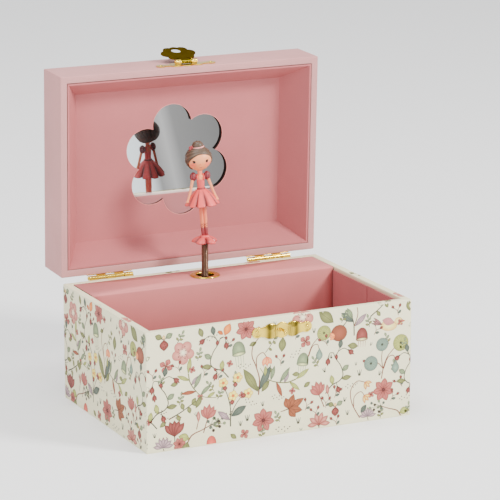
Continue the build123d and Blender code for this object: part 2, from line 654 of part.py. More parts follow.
def build_governor():
    """Worm wheel with its pinion, and the worm with the air-brake vane."""
    arbor = rod((0, 0, 28.2), (0, 0, 1), 0.8, 39.0)
    half_tooth = 180 / TRAIN_PINION
    arbor += spur_gear(TRAIN_PINION, TRAIN_MODULE, 60.9, 63.5, first_deg=180 + half_tooth)
    save("governor_pinion", Pos(GOVERNOR_X, FIGURE_Y, 0) * arbor)
    face = gear_face(
        WORM_WHEEL, WORM_WHEEL_R - 0.6, WORM_WHEEL_R + 0.38, 0.92, 0.34, first_deg=180 / WORM_WHEEL
    )
    wheel = Pos(0, 0, WORM_Z - 0.8) * extrude(face, 1.6)
    wheel -= rod((0, 0, WORM_Z - 2), (0, 0, 1), 0.8, 4)
    save("worm_wheel", Pos(GOVERNOR_X, FIGURE_Y, 0) * wheel)
    save("worm_shaft", worm_shaft())
    vane_low, vane_long, vane_r = FIGURE_Y - 10.3, 3.5, 5.4
    vane = rod((WORM_X, vane_low, WORM_Z), (0, 1, 0), 1.5, vane_long)
    vane += block(
        (WORM_X - vane_r, WORM_X + vane_r), (vane_low, vane_low + vane_long), (WORM_Z - 0.2, WORM_Z + 0.2)
    )
    save("fly_vane", vane - rod((WORM_X, 30, WORM_Z), (0, 1, 0), 0.7, 30))


def worm_shaft():
    """A single-start right-hand worm on a thin shaft along Y."""
    lead = math.pi * TRAIN_MODULE
    turns = 4
    core_r = WORM_R - 0.55
    length = lead * turns
    path = Helix(lead, length, core_r)
    start = path @ 0
    section = Plane(origin=start, x_dir=(1, 0, 0), z_dir=(0, 1, 0)) * make_face(
        Polyline((-0.2, -0.36), (0.85, -0.16), (0.85, 0.16), (-0.2, 0.36), close=True)
    )
    thread = sweep(section, path=path, is_frenet=True)
    worm = thread + Pos(0, 0, -0.6) * Cylinder(core_r, length + 1.2, align=UP)
    place = Plane(origin=(WORM_X, FIGURE_Y - length / 2, WORM_Z), x_dir=(-1, 0, 0), z_dir=(0, 1, 0))
    shaft_low = WORM_ARM + 0.2
    shaft = rod((WORM_X, shaft_low, WORM_Z), (0, 1, 0), 0.7, WORM_BEARING + 1.0 - shaft_low)
    return place * worm + shaft


# ---------------------------------------------------------------- dancer
def build_figure():
    """Heights are from the foot; the figure above the flower is turned and leans."""
    foot = Pos(0, FIGURE_Y, FIGURE_FOOT) * Rot(0, 0, FIGURE_TURN_DEG)
    leaning = foot * Pos(0, 0, FLOWER_TOP) * Rot(0, FIGURE_LEAN_DEG, 0) * Pos(0, 0, -FLOWER_TOP)
    spring = rod((0, FIGURE_Y, SPRING_LOW), (0, 0, 1), SPRING_R, FIGURE_FOOT - SPRING_LOW)
    save("coil_spring", spring - rod((0, FIGURE_Y, 60), (0, 0, 1), SPRING_BORE, 60))
    base = flower_base()
    save("figure_base", foot * base)
    save("figure_legs", [leg - foot * base for leg in leaning_pair(leaning, leg_and_shoe())])
    skirt = Pos(0, 0, HEM_Z) * Cone(HEM_R, WAIST_R, WAIST_Z - HEM_Z, align=UP)
    bodice = Pos(0, 0, WAIST_Z) * Cone(2.6, 2.9, SHOULDER_Z - WAIST_Z, align=UP)
    save("figure_dress", leaning * (skirt + bodice))
    build_head(leaning)
    sleeve = Pos(SLEEVE_X, 0, SLEEVE_Z) * scale(Sphere(1), by=(2.15, 2.15, 3.1)) - bodice
    save("figure_sleeves", leaning_pair(leaning, sleeve))
    shoulder, hand = Vector(5.3, -0.4, 43.5), Vector(10.6, -1.8, 30.0)
    arm = rod(tuple(shoulder), tuple(hand - shoulder), 0.95, (hand - shoulder).length)
    save("figure_arms", leaning_pair(leaning, arm - sleeve))


def leaning_pair(place, shape):
    return [place * half for half in both_sides(shape)]


def flower_base():
    """A five-petal disc with a plug that fits the bore of the spring."""
    flower = Circle(4.6)
    for k in range(5):
        angle = math.radians(18 + 72 * k)
        flower += Pos(5.4 * math.cos(angle), 5.4 * math.sin(angle)) * Circle(3.7)
    low, plug = 0.4, 6.0
    base = Pos(0, 0, low) * extrude(flower, FLOWER_TOP - low)
    base += Cylinder(FLOWER_STEM_R, FLOWER_TOP + 1.0, align=UP)
    return base + Pos(0, 0, -plug) * Cylinder(SPRING_BORE - RUNNING, plug, align=UP)


def leg_and_shoe():
    shoe = Pos(LEG_X, -0.5, SHOE_LOW) * Cone(1.25, 1.2, SHOE_HIGH - SHOE_LOW, align=UP)
    leg = Pos(LEG_X, -0.5, SHOE_HIGH) * Cone(1.0, 1.25, HEM_Z - SHOE_HIGH, align=UP)
    return shoe + leg


def build_head(place):
    """Head on a short neck, and a cap of hair open at the face with a bun on top."""
    head = Pos(0, 0, HEAD_Z) * Sphere(HEAD_R)
    above_chin = Pos(0, 0, CHIN_Z) * Cylinder(HEAD_R, 2 * HEAD_R, align=UP)
    neck = Pos(0, 0, SHOULDER_Z) * Cylinder(1.5, CHIN_Z - SHOULDER_Z, align=UP)
    save("figure_head", place * ((head & above_chin) + neck))
    hair = Pos(0, 0.5, HEAD_Z + 0.6) * Sphere(HAIR_R) - head
    hair -= Pos(0, -8.0, HEAD_Z - 3.1) * Box(24, 12, 13.4)
    hair -= Pos(0, 0, CHIN_Z - 1.6) * Box(30, 30, 6.4)
    hair += Pos(0, 0.6, BUN_Z) * Sphere(BUN_R) - head
    save("figure_hair", place * hair)


build_body()
build_cover()
build_lid()
build_hinges()
build_catch()
build_hasp()
build_bedplate()
build_comb()
build_mainspring()
build_winding()
build_drum()
build_governor()
build_figure()
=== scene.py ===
"""A musical jewellery box with a turning dancer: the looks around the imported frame.

Lengths are in millimetres in the frame's own axes until a mesh is made, then metres.
"""

import json
import math

import bmesh
import bpy
from mathutils import Matrix, Vector


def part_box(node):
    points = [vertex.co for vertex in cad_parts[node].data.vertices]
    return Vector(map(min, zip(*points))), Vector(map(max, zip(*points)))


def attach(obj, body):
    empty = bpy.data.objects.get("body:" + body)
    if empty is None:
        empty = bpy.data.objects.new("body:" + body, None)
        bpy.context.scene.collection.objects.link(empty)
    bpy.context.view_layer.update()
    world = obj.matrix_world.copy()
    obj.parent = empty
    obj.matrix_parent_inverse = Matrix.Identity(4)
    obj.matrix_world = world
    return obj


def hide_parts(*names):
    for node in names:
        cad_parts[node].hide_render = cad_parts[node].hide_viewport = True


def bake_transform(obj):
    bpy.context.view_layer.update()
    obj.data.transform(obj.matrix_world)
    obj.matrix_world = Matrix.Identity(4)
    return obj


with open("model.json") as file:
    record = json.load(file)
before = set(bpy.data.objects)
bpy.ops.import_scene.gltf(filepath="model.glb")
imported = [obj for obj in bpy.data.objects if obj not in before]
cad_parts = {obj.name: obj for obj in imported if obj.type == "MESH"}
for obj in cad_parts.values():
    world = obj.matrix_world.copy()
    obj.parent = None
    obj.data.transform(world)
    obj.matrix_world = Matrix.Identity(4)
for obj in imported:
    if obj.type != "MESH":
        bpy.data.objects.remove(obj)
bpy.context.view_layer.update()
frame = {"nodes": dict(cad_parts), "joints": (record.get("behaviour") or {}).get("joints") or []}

MM = 0.001
TAU = 2 * math.pi


def corners(node):
    """A node's lowest and highest corners at rest, in millimetres."""
    return tuple(Vector(corner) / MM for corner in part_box(node))


BODY_LOW, BODY_HIGH = corners("body_wrap_paper")
COVER_LOW, COVER_HIGH = corners("mechanism_cover")
PARTITION_LOW, _ = corners("mechanism_partition")
GROMMET_LOW, GROMMET_HIGH = corners("grommet")
SPRING_LOW, SPRING_HIGH = corners("coil_spring")
CATCH_LOW, CATCH_HIGH = corners("catch_plate")
HALF_W, HALF_D, RIM_Z = BODY_HIGH.x, BODY_HIGH.y, BODY_HIGH.z
JOINTS = {joint["name"]: joint for joint in frame["joints"]}
LID_PIVOT = Vector(JOINTS["lid_hinge"]["pos_m"]) / MM
LID_OPEN = math.radians(JOINTS["lid_hinge"]["range_deg"][1])
FIGURE_AXIS = Vector(JOINTS["dancer_spin"]["pos_m"]) / MM

# the paper wraps, with the lid shut
BOARD_AND_PAPER = 4.7
LID_GAP = 1.2
LID_HEIGHT = 30.0
TURN_IN = 4.0
CORNER_R = 0.8
EDGE_R = 0.55
WRAP_THICK = 0.25
# the flower opening over the mirror: six round petals about a middle
PANEL_Z = 101.0
FLOWER_X = -1.0
PETAL_OFFSET = 25.0
PETAL_R = 14.5
PETAL_TURN = 99
# the catch's sheet, and the dancer's pose
LEAF = 0.8
FIGURE_TURN = math.radians(-15)
FIGURE_LEAN = math.radians(-4.2)
LEAN_PIVOT = 5.0


# ---------------------------------------------------------------- camera, floor, light
def add_camera():
    """A long lens from the front left, a little above the box."""
    camera = bpy.data.cameras.new("camera")
    camera.lens = 188.96
    camera.sensor_width = 36
    item = bpy.data.objects.new("camera", camera)
    azimuth, elevation = math.radians(-25.973), math.radians(13.842)
    item.rotation_euler = (math.pi / 2 - elevation, 0, azimuth)
    item.location = (-0.72596, -1.51225, 0.52051)
    bpy.context.scene.collection.objects.link(item)
    bpy.context.scene.camera = item


def add_softbox(name, place, target, size, power, colour=(1, 1, 1)):
    """An area light at a place in metres, turned to face its target."""
    light = bpy.data.lights.new(name, "AREA")
    light.shape = "RECTANGLE"
    light.size, light.size_y = size
    light.energy = power
    light.color = colour
    item = bpy.data.objects.new(name, light)
    item.location = place
    item.rotation_euler = (Vector(target) - Vector(place)).to_track_quat("-Z", "Y").to_euler()
    bpy.context.scene.collection.objects.link(item)


def add_stage():
    """A pale floor under an even pale sky, and three softboxes."""
    mesh = bpy.data.meshes.new("floor")
    reach = 6.0
    square = [(reach * x, reach * y, 0) for x, y in ((-1, -1), (1, -1), (1, 1), (-1, 1))]
    mesh.from_pydata(square, [], [(0, 1, 2, 3)])
    floor = bpy.data.objects.new("floor", mesh)
    bpy.context.scene.collection.objects.link(floor)
    material, _, shader = new_shader("floor_pale", roughness=0.7)
    shader.inputs["Base Color"].default_value = (0.93, 0.93, 0.925, 1)
    mesh.materials.append(material)
    world = bpy.data.worlds.new("studio")
    world.use_nodes = True
    background = world.node_tree.nodes["Background"]
    background.inputs["Color"].default_value = (0.97, 0.98, 1.0, 1)
    background.inputs["Strength"].default_value = 1.15
    bpy.context.scene.world = world
    middle = (0, 0, 0.1)
    add_softbox("key", (1.15, -1.35, 1.35), middle, (0.42, 0.42), 62, (1.0, 0.985, 0.96))
    add_softbox("fill", (-1.4, -1.7, 1.0), middle, (1.4, 1.4), 26, (0.96, 0.98, 1.0))
    add_softbox("top", (-0.3, 0.1, 1.9), middle, (1.0, 1.0), 25)


# ---------------------------------------------------------------- materials
LIT = 2.5  # how much brighter than its base colour a lit surface comes out


def paint(red, green, blue):
    """A base colour that looks about like these 0 to 255 screen values under the studio light."""
    parts = [max(0.02, min(0.94, value / 255)) for value in (red, green, blue)]
    bases = [0.269 * part**1.397 / (1 - part) ** 1.117 / LIT for part in parts]
    return *(min(0.95, base) for base in bases), 1.0


def new_shader(name, roughness=0.5, metallic=0.0, **more):
    """A new material with its node tree and its principled shader."""
    material = bpy.data.materials.new(name)
    material.use_nodes = True
    tree = material.node_tree
    shader = tree.nodes["Principled BSDF"]
    shader.inputs["Roughness"].default_value = roughness
    shader.inputs["Metallic"].default_value = metallic
    for key, value in more.items():
        shader.inputs[key.replace("_", " ")].default_value = value
    return material, tree, shader


def add_node(tree, kind, **values):
    """A shader node with some of its inputs set."""
    node = tree.nodes.new("ShaderNode" + kind)
    for key, value in values.items():
        node.inputs[key.replace("_", " ")].default_value = value
    return node


def noise(tree, scale, detail=3.0, roughness=0.55, stretch=(1, 1, 1)):
    """Noise in the object's own space; scale is in cells per metre."""
    place = add_node(tree, "TexCoord")
    mapping = add_node(tree, "Mapping", Scale=stretch)
    texture = add_node(tree, "TexNoise", Scale=scale, Detail=detail, Roughness=roughness)
    tree.links.new(place.outputs["Object"], mapping.inputs["Vector"])
    tree.links.new(mapping.outputs["Vector"], texture.inputs["Vector"])
    return texture.outputs["Fac"]


def ramp(tree, source, stops):
    """A colour or grey ramp through (position, colour) stops."""
    node = add_node(tree, "ValToRGB")
    elements = node.color_ramp.elements
    while len(elements) < len(stops):
        elements.new(0.5)
    for element, (position, colour) in zip(elements, stops):
        element.position = position
        element.color = colour
    tree.links.new(source, node.inputs["Fac"])
    return node.outputs["Color"]


def grey(value):
    return value, value, value, 1.0


def mix(tree, kind, first, second, factor):
    """Mix two colours; each may be a socket or a colour, and factor a socket or number."""
    node = add_node(tree, "Mix")
    node.data_type = "RGBA"
    node.blend_type = kind
    colour_a, colour_b = node.inputs[6], node.inputs[7]
    for socket, value in ((node.inputs["Factor"], factor), (colour_a, first), (colour_b, second)):
        if isinstance(value, bpy.types.NodeSocket):
            tree.links.new(value, socket)
        else:
            socket.default_value = value
    return node.outputs[2]


def multiply_into(tree, shader, first, second):
    """Make the base colour the product of two colours."""
    tree.links.new(mix(tree, "MULTIPLY", first, second, 1.0), shader.inputs["Base Color"])


def attribute(tree, name, output="Fac"):
    """A value painted on the mesh's points."""
    node = add_node(tree, "Attribute")
    node.attribute_name = name
    return node.outputs[output]


def add_bump(tree, shader, height, distance, strength=1.0):
    """Fine relief, on top of any the shader already has; distance is in metres."""
    node = add_node(tree, "Bump", Distance=distance, Strength=strength)
    tree.links.new(height, node.inputs["Height"])
    previous = shader.inputs["Normal"].links
    if previous:
        tree.links.new(previous[0].from_socket, node.inputs["Normal"])
    tree.links.new(node.outputs["Normal"], shader.inputs["Normal"])


def shade(colour, factor):
    """The same colour, darker or lighter."""
    return tuple(min(1.0, c * factor) for c in colour[:3]) + (1.0,)


def paper(name, colour, roughness=0.62, grain=0.05, mottle=0.06):
    """Covering paper: soft mottling, fine fibres in colour and relief."""
    material, tree, shader = new_shader(name, roughness, Specular_IOR_Level=0.35)
    clouds = ramp(
        tree, noise(tree, 22, 4), [(0.3, shade(colour, 1 - mottle)), (0.7, shade(colour, 1 + mottle))]
    )
    fibres = noise(tree, 900, 4, 0.65, (1, 1, 2.2))
    speckle = ramp(tree, fibres, [(0.3, grey(1 - grain)), (0.72, grey(1.0))])
    multiply_into(tree, shader, clouds, speckle)
    gloss = ramp(tree, noise(tree, 60, 3), [(0.3, grey(roughness - 0.05)), (0.7, grey(roughness + 0.05))])
    tree.links.new(gloss, shader.inputs["Roughness"])
    add_bump(tree, shader, fibres, 0.00006, 0.5)
    add_bump(tree, shader, noise(tree, 90, 2), 0.0002, 0.15)
    return material


def print_ink(name):
    """Watercolour ink: painted colour with pigment that pools and thins."""
    material, tree, shader = new_shader(name, 0.6, Specular_IOR_Level=0.3)
    ink = attribute(tree, "ink", "Color")
    wash = ramp(tree, noise(tree, 420, 4, 0.7), [(0.32, grey(0.86)), (0.68, grey(1.0))])
    pool = ramp(tree, noise(tree, 1500, 3, 0.6), [(0.3, grey(0.93)), (0.7, grey(1.0))])
    washed = mix(tree, "MULTIPLY", ink, wash, 1.0)
    multiply_into(tree, shader, washed, pool)
    add_bump(tree, shader, noise(tree, 900, 4, 0.65, (1, 1, 2.2)), 0.00006, 0.5)
    return material


def metal(name, colour, roughness, scratch=0.5, stain=0.12, painted_shade=0.0, edge=(1, 1, 1, 1)):
    """Sheet or turned metal: uneven polish, fine scratches, slight staining, and painted shade where the
    fold value is painted, if asked for.
    """
    material, tree, shader = new_shader(name, roughness, 1.0)
    shader.inputs["Specular Tint"].default_value = edge
    patches = ramp(tree, noise(tree, 160, 5), [(0.3, shade(colour, 1 - stain)), (0.65, colour)])
    spots = ramp(tree, noise(tree, 1100, 3), [(0.24, shade(grey(1.0), 1 - 2 * stain)), (0.38, grey(1.0))])
    stained = mix(tree, "MULTIPLY", patches, spots, 1.0)
    # painted shade: the fold value darkens the metal
    if painted_shade:
        shade_ramp = ramp(tree, attribute(tree, "fold"), [(0.0, grey(1.0)), (1.0, grey(1 - painted_shade))])
        stained = mix(tree, "MULTIPLY", stained, shade_ramp, 1.0)
    tree.links.new(stained, shader.inputs["Base Color"])
    fine = noise(tree, 2600, 4, 0.6)
    low, high = max(0.03, roughness - 0.07), roughness + 0.1
    tree.links.new(ramp(tree, fine, [(0.3, grey(low)), (0.75, grey(high))]), shader.inputs["Roughness"])
    add_bump(tree, shader, fine, 0.00002, scratch)
    return material


def fabric_paint(name, colour, deep, roughness=0.45):
    """Hand-painted resin, brushed unevenly; its colour turns to the deep tone where the fold value is
    painted, which is painted shade in grooves, gathers, creases, hems and hollows.
    """
    material, tree, shader = new_shader(name, roughness, Specular_IOR_Level=0.45)
    fold = attribute(tree, "fold")
    base = mix(tree, "MIX", colour, deep, fold)
    brushed = ramp(tree, noise(tree, 700, 4, 0.6, (1, 1, 0.3)), [(0.3, grey(0.9)), (0.7, grey(1.0))])
    multiply_into(tree, shader, base, brushed)
    add_bump(tree, shader, noise(tree, 1400, 3), 0.00004, 0.4)
    return material


def skin_paint(name, colour, blush):
    """Matt skin colour that warms to a blush where the fold value is painted: real blush on the cheeks,
    painted shade on the legs under the skirt.
    """
    material, tree, shader = new_shader(name, 0.42, Subsurface_Weight=0.06)
    shader.inputs["Subsurface Radius"].default_value = (0.0012, 0.0006, 0.0004)
    warm = mix(tree, "MIX", colour, blush, attribute(tree, "fold"))
    brushed = ramp(tree, noise(tree, 500, 3), [(0.3, grey(0.95)), (0.7, grey(1.0))])
    multiply_into(tree, shader, warm, brushed)
    add_bump(tree, shader, noise(tree, 1600, 2), 0.00002, 0.4)
    return material


def spread_along(tree, direction, low, high):
    """0 to 1 between two places, in metres, along a direction of the object."""
    place = add_node(tree, "TexCoord")
    along = add_node(tree, "VectorMath")
    along.operation = "DOT_PRODUCT"
    along.inputs[1].default_value = direction
    spread = add_node(tree, "MapRange", From_Min=low, From_Max=high)
    tree.links.new(place.outputs["Object"], along.inputs[0])
    tree.links.new(along.outputs["Value"], spread.inputs["Value"])
    return spread.outputs["Result"]


def mirror_painted_reflections():
    """Silvered glass with painted reflections: a leaning bright band, bluish grey to one side, and at its
    foot a pale strip above a pink reflection of the lining.
    """
    material, tree, shader = new_shader("mirror_painted_reflections", 0.02, 1.0)
    leaning = spread_along(tree, (1, 0, 0.26), -0.005, 0.075)
    # painted reflection across the glass: bluish grey by the band, darker greys beyond it
    bluish, dim_reflection = (0.56, 0.62, 0.65, 1), (0.46, 0.50, 0.52, 1)
    greys = [(0.36, grey(0.16)), (0.49, grey(0.25)), (0.60, grey(0.135)), (1.0, grey(0.105))]
    across = ramp(tree, leaning, [(0.0, bluish), (0.25, dim_reflection), *greys])
    upward = spread_along(tree, (0, 0, 1), 0.110, 0.150)
    # painted reflection of the rose lining at the foot, under a pale strip
    rose, pale = (0.90, 0.45, 0.45, 1), (0.95, 0.88, 0.86, 1)
    foot_reflection = ramp(tree, upward, [(0.0, rose), (0.43, rose), (0.445, pale), (1.0, pale)])
    foot = ramp(tree, upward, [(0.0, grey(1.0)), (0.475, grey(1.0)), (0.495, grey(0.0))])
    painted_reflection = mix(tree, "MIX", across, foot_reflection, foot)
    sheen = ramp(tree, noise(tree, 14, 1, 0.4, (1, 1, 0.35)), [(0.4, grey(0.9)), (0.62, grey(1.0))])
    multiply_into(tree, shader, painted_reflection, sheen)
    # metallic is lowered where the painted reflection is to show as colour
    mirrored = ((0.0, 0.62), (0.43, 0.66), (0.445, 0.5), (0.475, 0.5), (0.495, 0.965))
    reflection_metallic = ramp(tree, upward, [(stop, grey(value)) for stop, value in mirrored])
    tree.links.new(reflection_metallic, shader.inputs["Metallic"])
    return material


def make_materials():
    made = {
        "print_paper": paper("print_paper_cream", (0.80, 0.75, 0.50, 1), 0.58, 0.04, 0.035),
        "pink_paper": paper("pink_paper_dusty", paint(207, 177, 175), 0.6),
        "pink_lining": paper("pink_lining_rose", paint(203, 149, 149), 0.7, 0.07, 0.05),
        # the rose lining in a lighter tone for the platform: painted light on its up-facing top
        "deck_paper": paper("lining_rose_painted_lighter", paint(212, 166, 163), 0.66, 0.06, 0.05),
        "board": paper("chip_board", paint(176, 158, 132), 0.8, 0.25, 0.12),
        # dark brown raw board with painted shade in it
        "cut_edge": paper("cut_board_edge_shaded", paint(104, 66, 60), 0.8, 0.25, 0.12),
        "foam": paper("mirror_pad", paint(214, 210, 200), 0.9, 0.3, 0.1),
        "ink": print_ink("print_ink_watercolour"),
        "brass": metal("brass_plated", (0.74, 0.52, 0.07, 1), 0.17, 0.6, 0.16),
        # the plated brass a little lighter for the catch, with painted shade from its fold value: painted
        # light and shade
        "stamped": metal("brass_stamped_lit_and_shaded", (0.84, 0.60, 0.08, 1), 0.17, 0.6, 0.16, painted_shade=0.92),
        # the hasp flap's brass darkened to a dark olive: painted shade for its shaded underside
        "shaded_brass": metal("brass_painted_shade", (0.135, 0.10, 0.006, 1), 0.32, 0.5, 0.3, edge=(0.5, 0.40, 0.08, 1)),
        "steel": metal("steel_bright", paint(190, 190, 192), 0.26, 0.5, 0.1),
        "spring_steel": metal("spring_steel_wire", paint(176, 152, 134), 0.28, 0.4, 0.15),
        "zinc": metal("zinc_cast", paint(168, 168, 166), 0.46, 0.8, 0.12),
        "skin": skin_paint("skin_paint_peach", paint(240, 192, 150), paint(226, 128, 112)),
        "dress": fabric_paint("dress_paint_coral", paint(223, 134, 128), paint(92, 30, 34)),
        "sleeve": fabric_paint("sleeve_paint_rose", paint(184, 78, 88), paint(120, 36, 50)),
        "ribbon": fabric_paint("ribbon_paint_rose", paint(190, 78, 84), paint(130, 40, 50), 0.35),
        "petal": fabric_paint("petal_paint_pink", paint(232, 146, 142), paint(180, 84, 88), 0.14),
        "hair": fabric_paint("hair_paint_brown", paint(150, 124, 98), paint(50, 33, 24), 0.4),
        "eye": fabric_paint("eye_paint_dark", paint(26, 18, 16), paint(20, 14, 12), 0.2),
        "hairband": fabric_paint("hairband_paint", paint(236, 196, 190), paint(200, 130, 130), 0.35),
        "mirror": mirror_painted_reflections(),
    }
    return made


# ---------------------------------------------------------------- mesh helpers
def add_piece(name, points, faces, finish, body, transform=None, sharp=40, folds=None):
    """One mesh piece from points in millimetres, riding on a body."""
    mesh = bpy.data.meshes.new(name)
    placed = [transform @ Vector(p) if transform else Vector(p) for p in points]
    mesh.from_pydata([p * MM for p in placed], [], faces)
    if folds is not None:
        layer = mesh.attributes.new("fold", "FLOAT", "POINT")
        layer.data.foreach_set("value", folds)
    mesh.validate()
    work = bmesh.new()
    work.from_mesh(mesh)
    bmesh.ops.recalc_face_normals(work, faces=work.faces)
    work.to_mesh(mesh)
    work.free()
    mesh.shade_smooth()
    if sharp:
        mesh.set_sharp_from_angle(angle=math.radians(sharp))
    mesh.materials.append(MATERIALS[finish])
    item = bpy.data.objects.new(name, mesh)
    bpy.context.scene.collection.objects.link(item)
    if body:
        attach(item, body)
    return item


def modify(item, kind, **values):
    """Add one modifier and apply it at once."""
    modifier = item.modifiers.new(kind.lower(), kind)
    for key, value in values.items():
        setattr(modifier, key, value)
    bpy.context.view_layer.update()
    settled = item.evaluated_get(bpy.context.evaluated_depsgraph_get())
    mesh = bpy.data.meshes.new_from_object(settled)
    item.modifiers.clear()
    item.data = mesh


def polar(radius, angle, z=0.0, centre=(0, 0)):
    """A point at a radius and an angle round a vertical line."""
    return Vector((centre[0] + radius * math.cos(angle), centre[1] + radius * math.sin(angle), z))


def ring_faces(rings, count, close_rings=False):
    """Quads between successive rings of count points each."""
    faces = []
    for r in range(rings if close_rings else rings - 1):
        for c in range(count):
            low, high = r * count, ((r + 1) % rings) * count
            faces.append((low + c, low + (c + 1) % count, high + (c + 1) % count, high + c))
    return faces


def loft(rings, cap=True):
    """Points and faces through closed rings; the ends are closed by a fan."""
    count = len(rings[0])
    points = [p for ring in rings for p in ring]
    faces = ring_faces(len(rings), count)
    if cap:
        for ring_start in (0, (len(rings) - 1) * count):
            ring = points[ring_start:ring_start + count]
            centre = sum((Vector(p) for p in ring), Vector()) / count
            points.append(centre)
            hub = len(points) - 1
            faces += [(ring_start + c, ring_start + (c + 1) % count, hub) for c in range(count)]
    return points, faces


def closed_loft(rings):
    """Points and faces through rings, the last joined to the first."""
    return [p for ring in rings for p in ring], ring_faces(len(rings), len(rings[0]), True)


def circle(count):
    """Points round a circle of radius 1."""
    return [polar(1.0, TAU * k / count) for k in range(count)]


def ellipse(centre, rx, ry, count=24):
    return [Vector((centre[0] + rx * turn.x, centre[1] + ry * turn.y, centre[2])) for turn in circle(count)]


def smooth_path(points, steps):
    """A Catmull-Rom curve through a few points of any dimension."""
    points = [Vector(p) for p in points]
    ends = [2 * points[0] - points[1]] + points + [2 * points[-1] - points[-2]]
    path = []
    for k in range(1, len(ends) - 2):
        a, b, c, d = ends[k - 1], ends[k], ends[k + 1], ends[k + 2]
        for s in range(steps):
            t = s / steps
            bend, twist = 2 * a - 5 * b + 4 * c - d, 3 * b - a - 3 * c + d
            path.append(0.5 * (2 * b + (c - a) * t + bend * t * t + twist * t**3))
    return path + [points[-1]]


def tube(path, radii, count=12):
    """Rings round a path of 3-D points; radii is one radius or one per point."""
    rings = []
    previous = Vector((0.3, 0.9, 0.2))
    for k, centre in enumerate(path):
        ahead = path[min(k + 1, len(path) - 1)] - path[max(k - 1, 0)]
        ahead.normalize()
        side = (previous - ahead * previous.dot(ahead)).normalized()
        previous = side
        up = ahead.cross(side)
        radius = radii if isinstance(radii, (int, float)) else radii[k]
        rings.append([centre + radius * (turn.x * side + turn.y * up) for turn in circle(count)])
    return rings


def lathe(profile, count=64, centre=(0, 0)):
    """Rings from (radius, z) points round a vertical axis."""
    return [ellipse((centre[0], centre[1], z), radius, radius, count) for radius, z in profile]


def join_parts(parts):
    """Several (points, faces) lists as one."""
    points, faces = [], []
    for some_points, some_faces in parts:
        start = len(points)
        points += some_points
        faces += [tuple(start + k for k in face) for face in some_faces]
    return points, faces


def about(pivot, angle, axis="X"):
    """A turn about one direction through a point."""
    return Matrix.Translation(pivot) @ Matrix.Rotation(angle, 4, axis) @ Matrix.Translation(-pivot)


OPENED = about(LID_PIVOT, -LID_OPEN)


# ---------------------------------------------------------------- paper wraps
def rounded_rectangle(half_x, half_y, radius, z, corner_steps=5):
    ring = []
    for quarter, (sx, sy) in enumerate(((1, 1), (-1, 1), (-1, -1), (1, -1))):
        centre = (sx * (half_x - radius), sy * (half_y - radius))
        for k in range(corner_steps + 1):
            ring.append(polar(radius, TAU / 4 * (quarter + k / corner_steps), z, centre))
    return ring


def arc(centre, radius, start, stop, steps=4):
    """Pairs along an arc, for a profile."""
    spots = [polar(radius, start + (stop - start) * k / steps, 0, centre) for k in range(steps + 1)]
    return [(spot.x, spot.y) for spot in spots]


def wrap_rings(profile):
    """Rings round the box for (inset, z) profile points."""
    return [
        rounded_rectangle(HALF_W - inset, HALF_D - inset, max(CORNER_R - inset, 0.25), z)
        for inset, z in profile
    ]


def make_body_wrap():
    """The printed paper up the sides, over the rim and a little way down inside."""
    low = BODY_LOW.z
    profile = [(EDGE_R, low), *arc((EDGE_R, low + EDGE_R), EDGE_R, -TAU / 4, -TAU / 2)[1:]]
    inner = BOARD_AND_PAPER + 0.3
    profile += arc((EDGE_R, RIM_Z - EDGE_R), EDGE_R, TAU / 2, TAU / 4)
    profile += arc((inner - EDGE_R, RIM_Z - EDGE_R), EDGE_R, TAU / 4, 0)
    profile.append((inner, RIM_Z - TURN_IN))
    points, faces = loft(wrap_rings(profile), cap=False)
    item = add_piece("body_wrap", points, faces, "print_paper", "box", sharp=60)
    modify(item, "SOLIDIFY", thickness=WRAP_THICK * MM, offset=-1)
    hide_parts("body_wrap_paper")


def make_lid_wrap():
    """Drawn closed, top up, then swung open with the lid."""
    low = RIM_Z + LID_GAP
    high = low + LID_HEIGHT
    inner = BOARD_AND_PAPER + 0.05
    profile = [(inner, low + 0.9), *arc((inner - EDGE_R, low + EDGE_R), EDGE_R, 0, -TAU / 4)]
    profile += arc((EDGE_R, low + EDGE_R), EDGE_R, -TAU / 4, -TAU / 2)
    profile += arc((EDGE_R, high - EDGE_R), EDGE_R, TAU / 2, TAU / 4)
    profile += [(8.0, high), (30.0, high)]
    rings = wrap_rings(profile)
    points, faces = loft(rings, cap=False)
    count = len(rings[0])
    start = (len(rings) - 1) * count
    points.append(Vector((0, 0, high)))
    faces += [(start + c, start + (c + 1) % count, len(points) - 1) for c in range(count)]
    item = add_piece("lid_wrap", points, faces, "pink_paper", "lid", OPENED, sharp=60)
    modify(item, "SOLIDIFY", thickness=WRAP_THICK * MM, offset=-1)
    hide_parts("lid_wrap_paper")


def flower_reach(angle):
    """Distance from the middle of the mirror's flower opening to its edge."""
    reach = PETAL_OFFSET
    for k in range(6):
        away = angle - math.radians(60 * k - PETAL_TURN)
        across = PETAL_R**2 - (PETAL_OFFSET * math.sin(away)) ** 2
        if across > 0 and math.cos(away) > 0:
            reach = max(reach, PETAL_OFFSET * math.cos(away) + math.sqrt(across))
    return reach


def make_mirror_edge():
    """The raw board edge of the flower opening in a dark brown that is partly painted shade, with a paler
    line at its front.
    """
    angles = [TAU * k / 360 for k in range(360)]
    for name, finish, deep, low, high in (
        ("mirror_cut_edge", "cut_edge", 0.22, PANEL_Z + 0.3, PANEL_Z + 2.25),
        ("mirror_cut_lip", "hairband", 0.24, PANEL_Z - 0.06, PANEL_Z + 0.34),
    ):
        rings = [
            [polar(flower_reach(angle) - shrink, angle, z, (FLOWER_X, 0)) for angle in angles]
            for shrink, z in ((0.02, low), (0.02, high), (deep, high), (deep, low))
        ]
        points, faces = closed_loft(rings)
        add_piece(name, points, faces, finish, "lid", OPENED, 40, [0.2] * len(points))


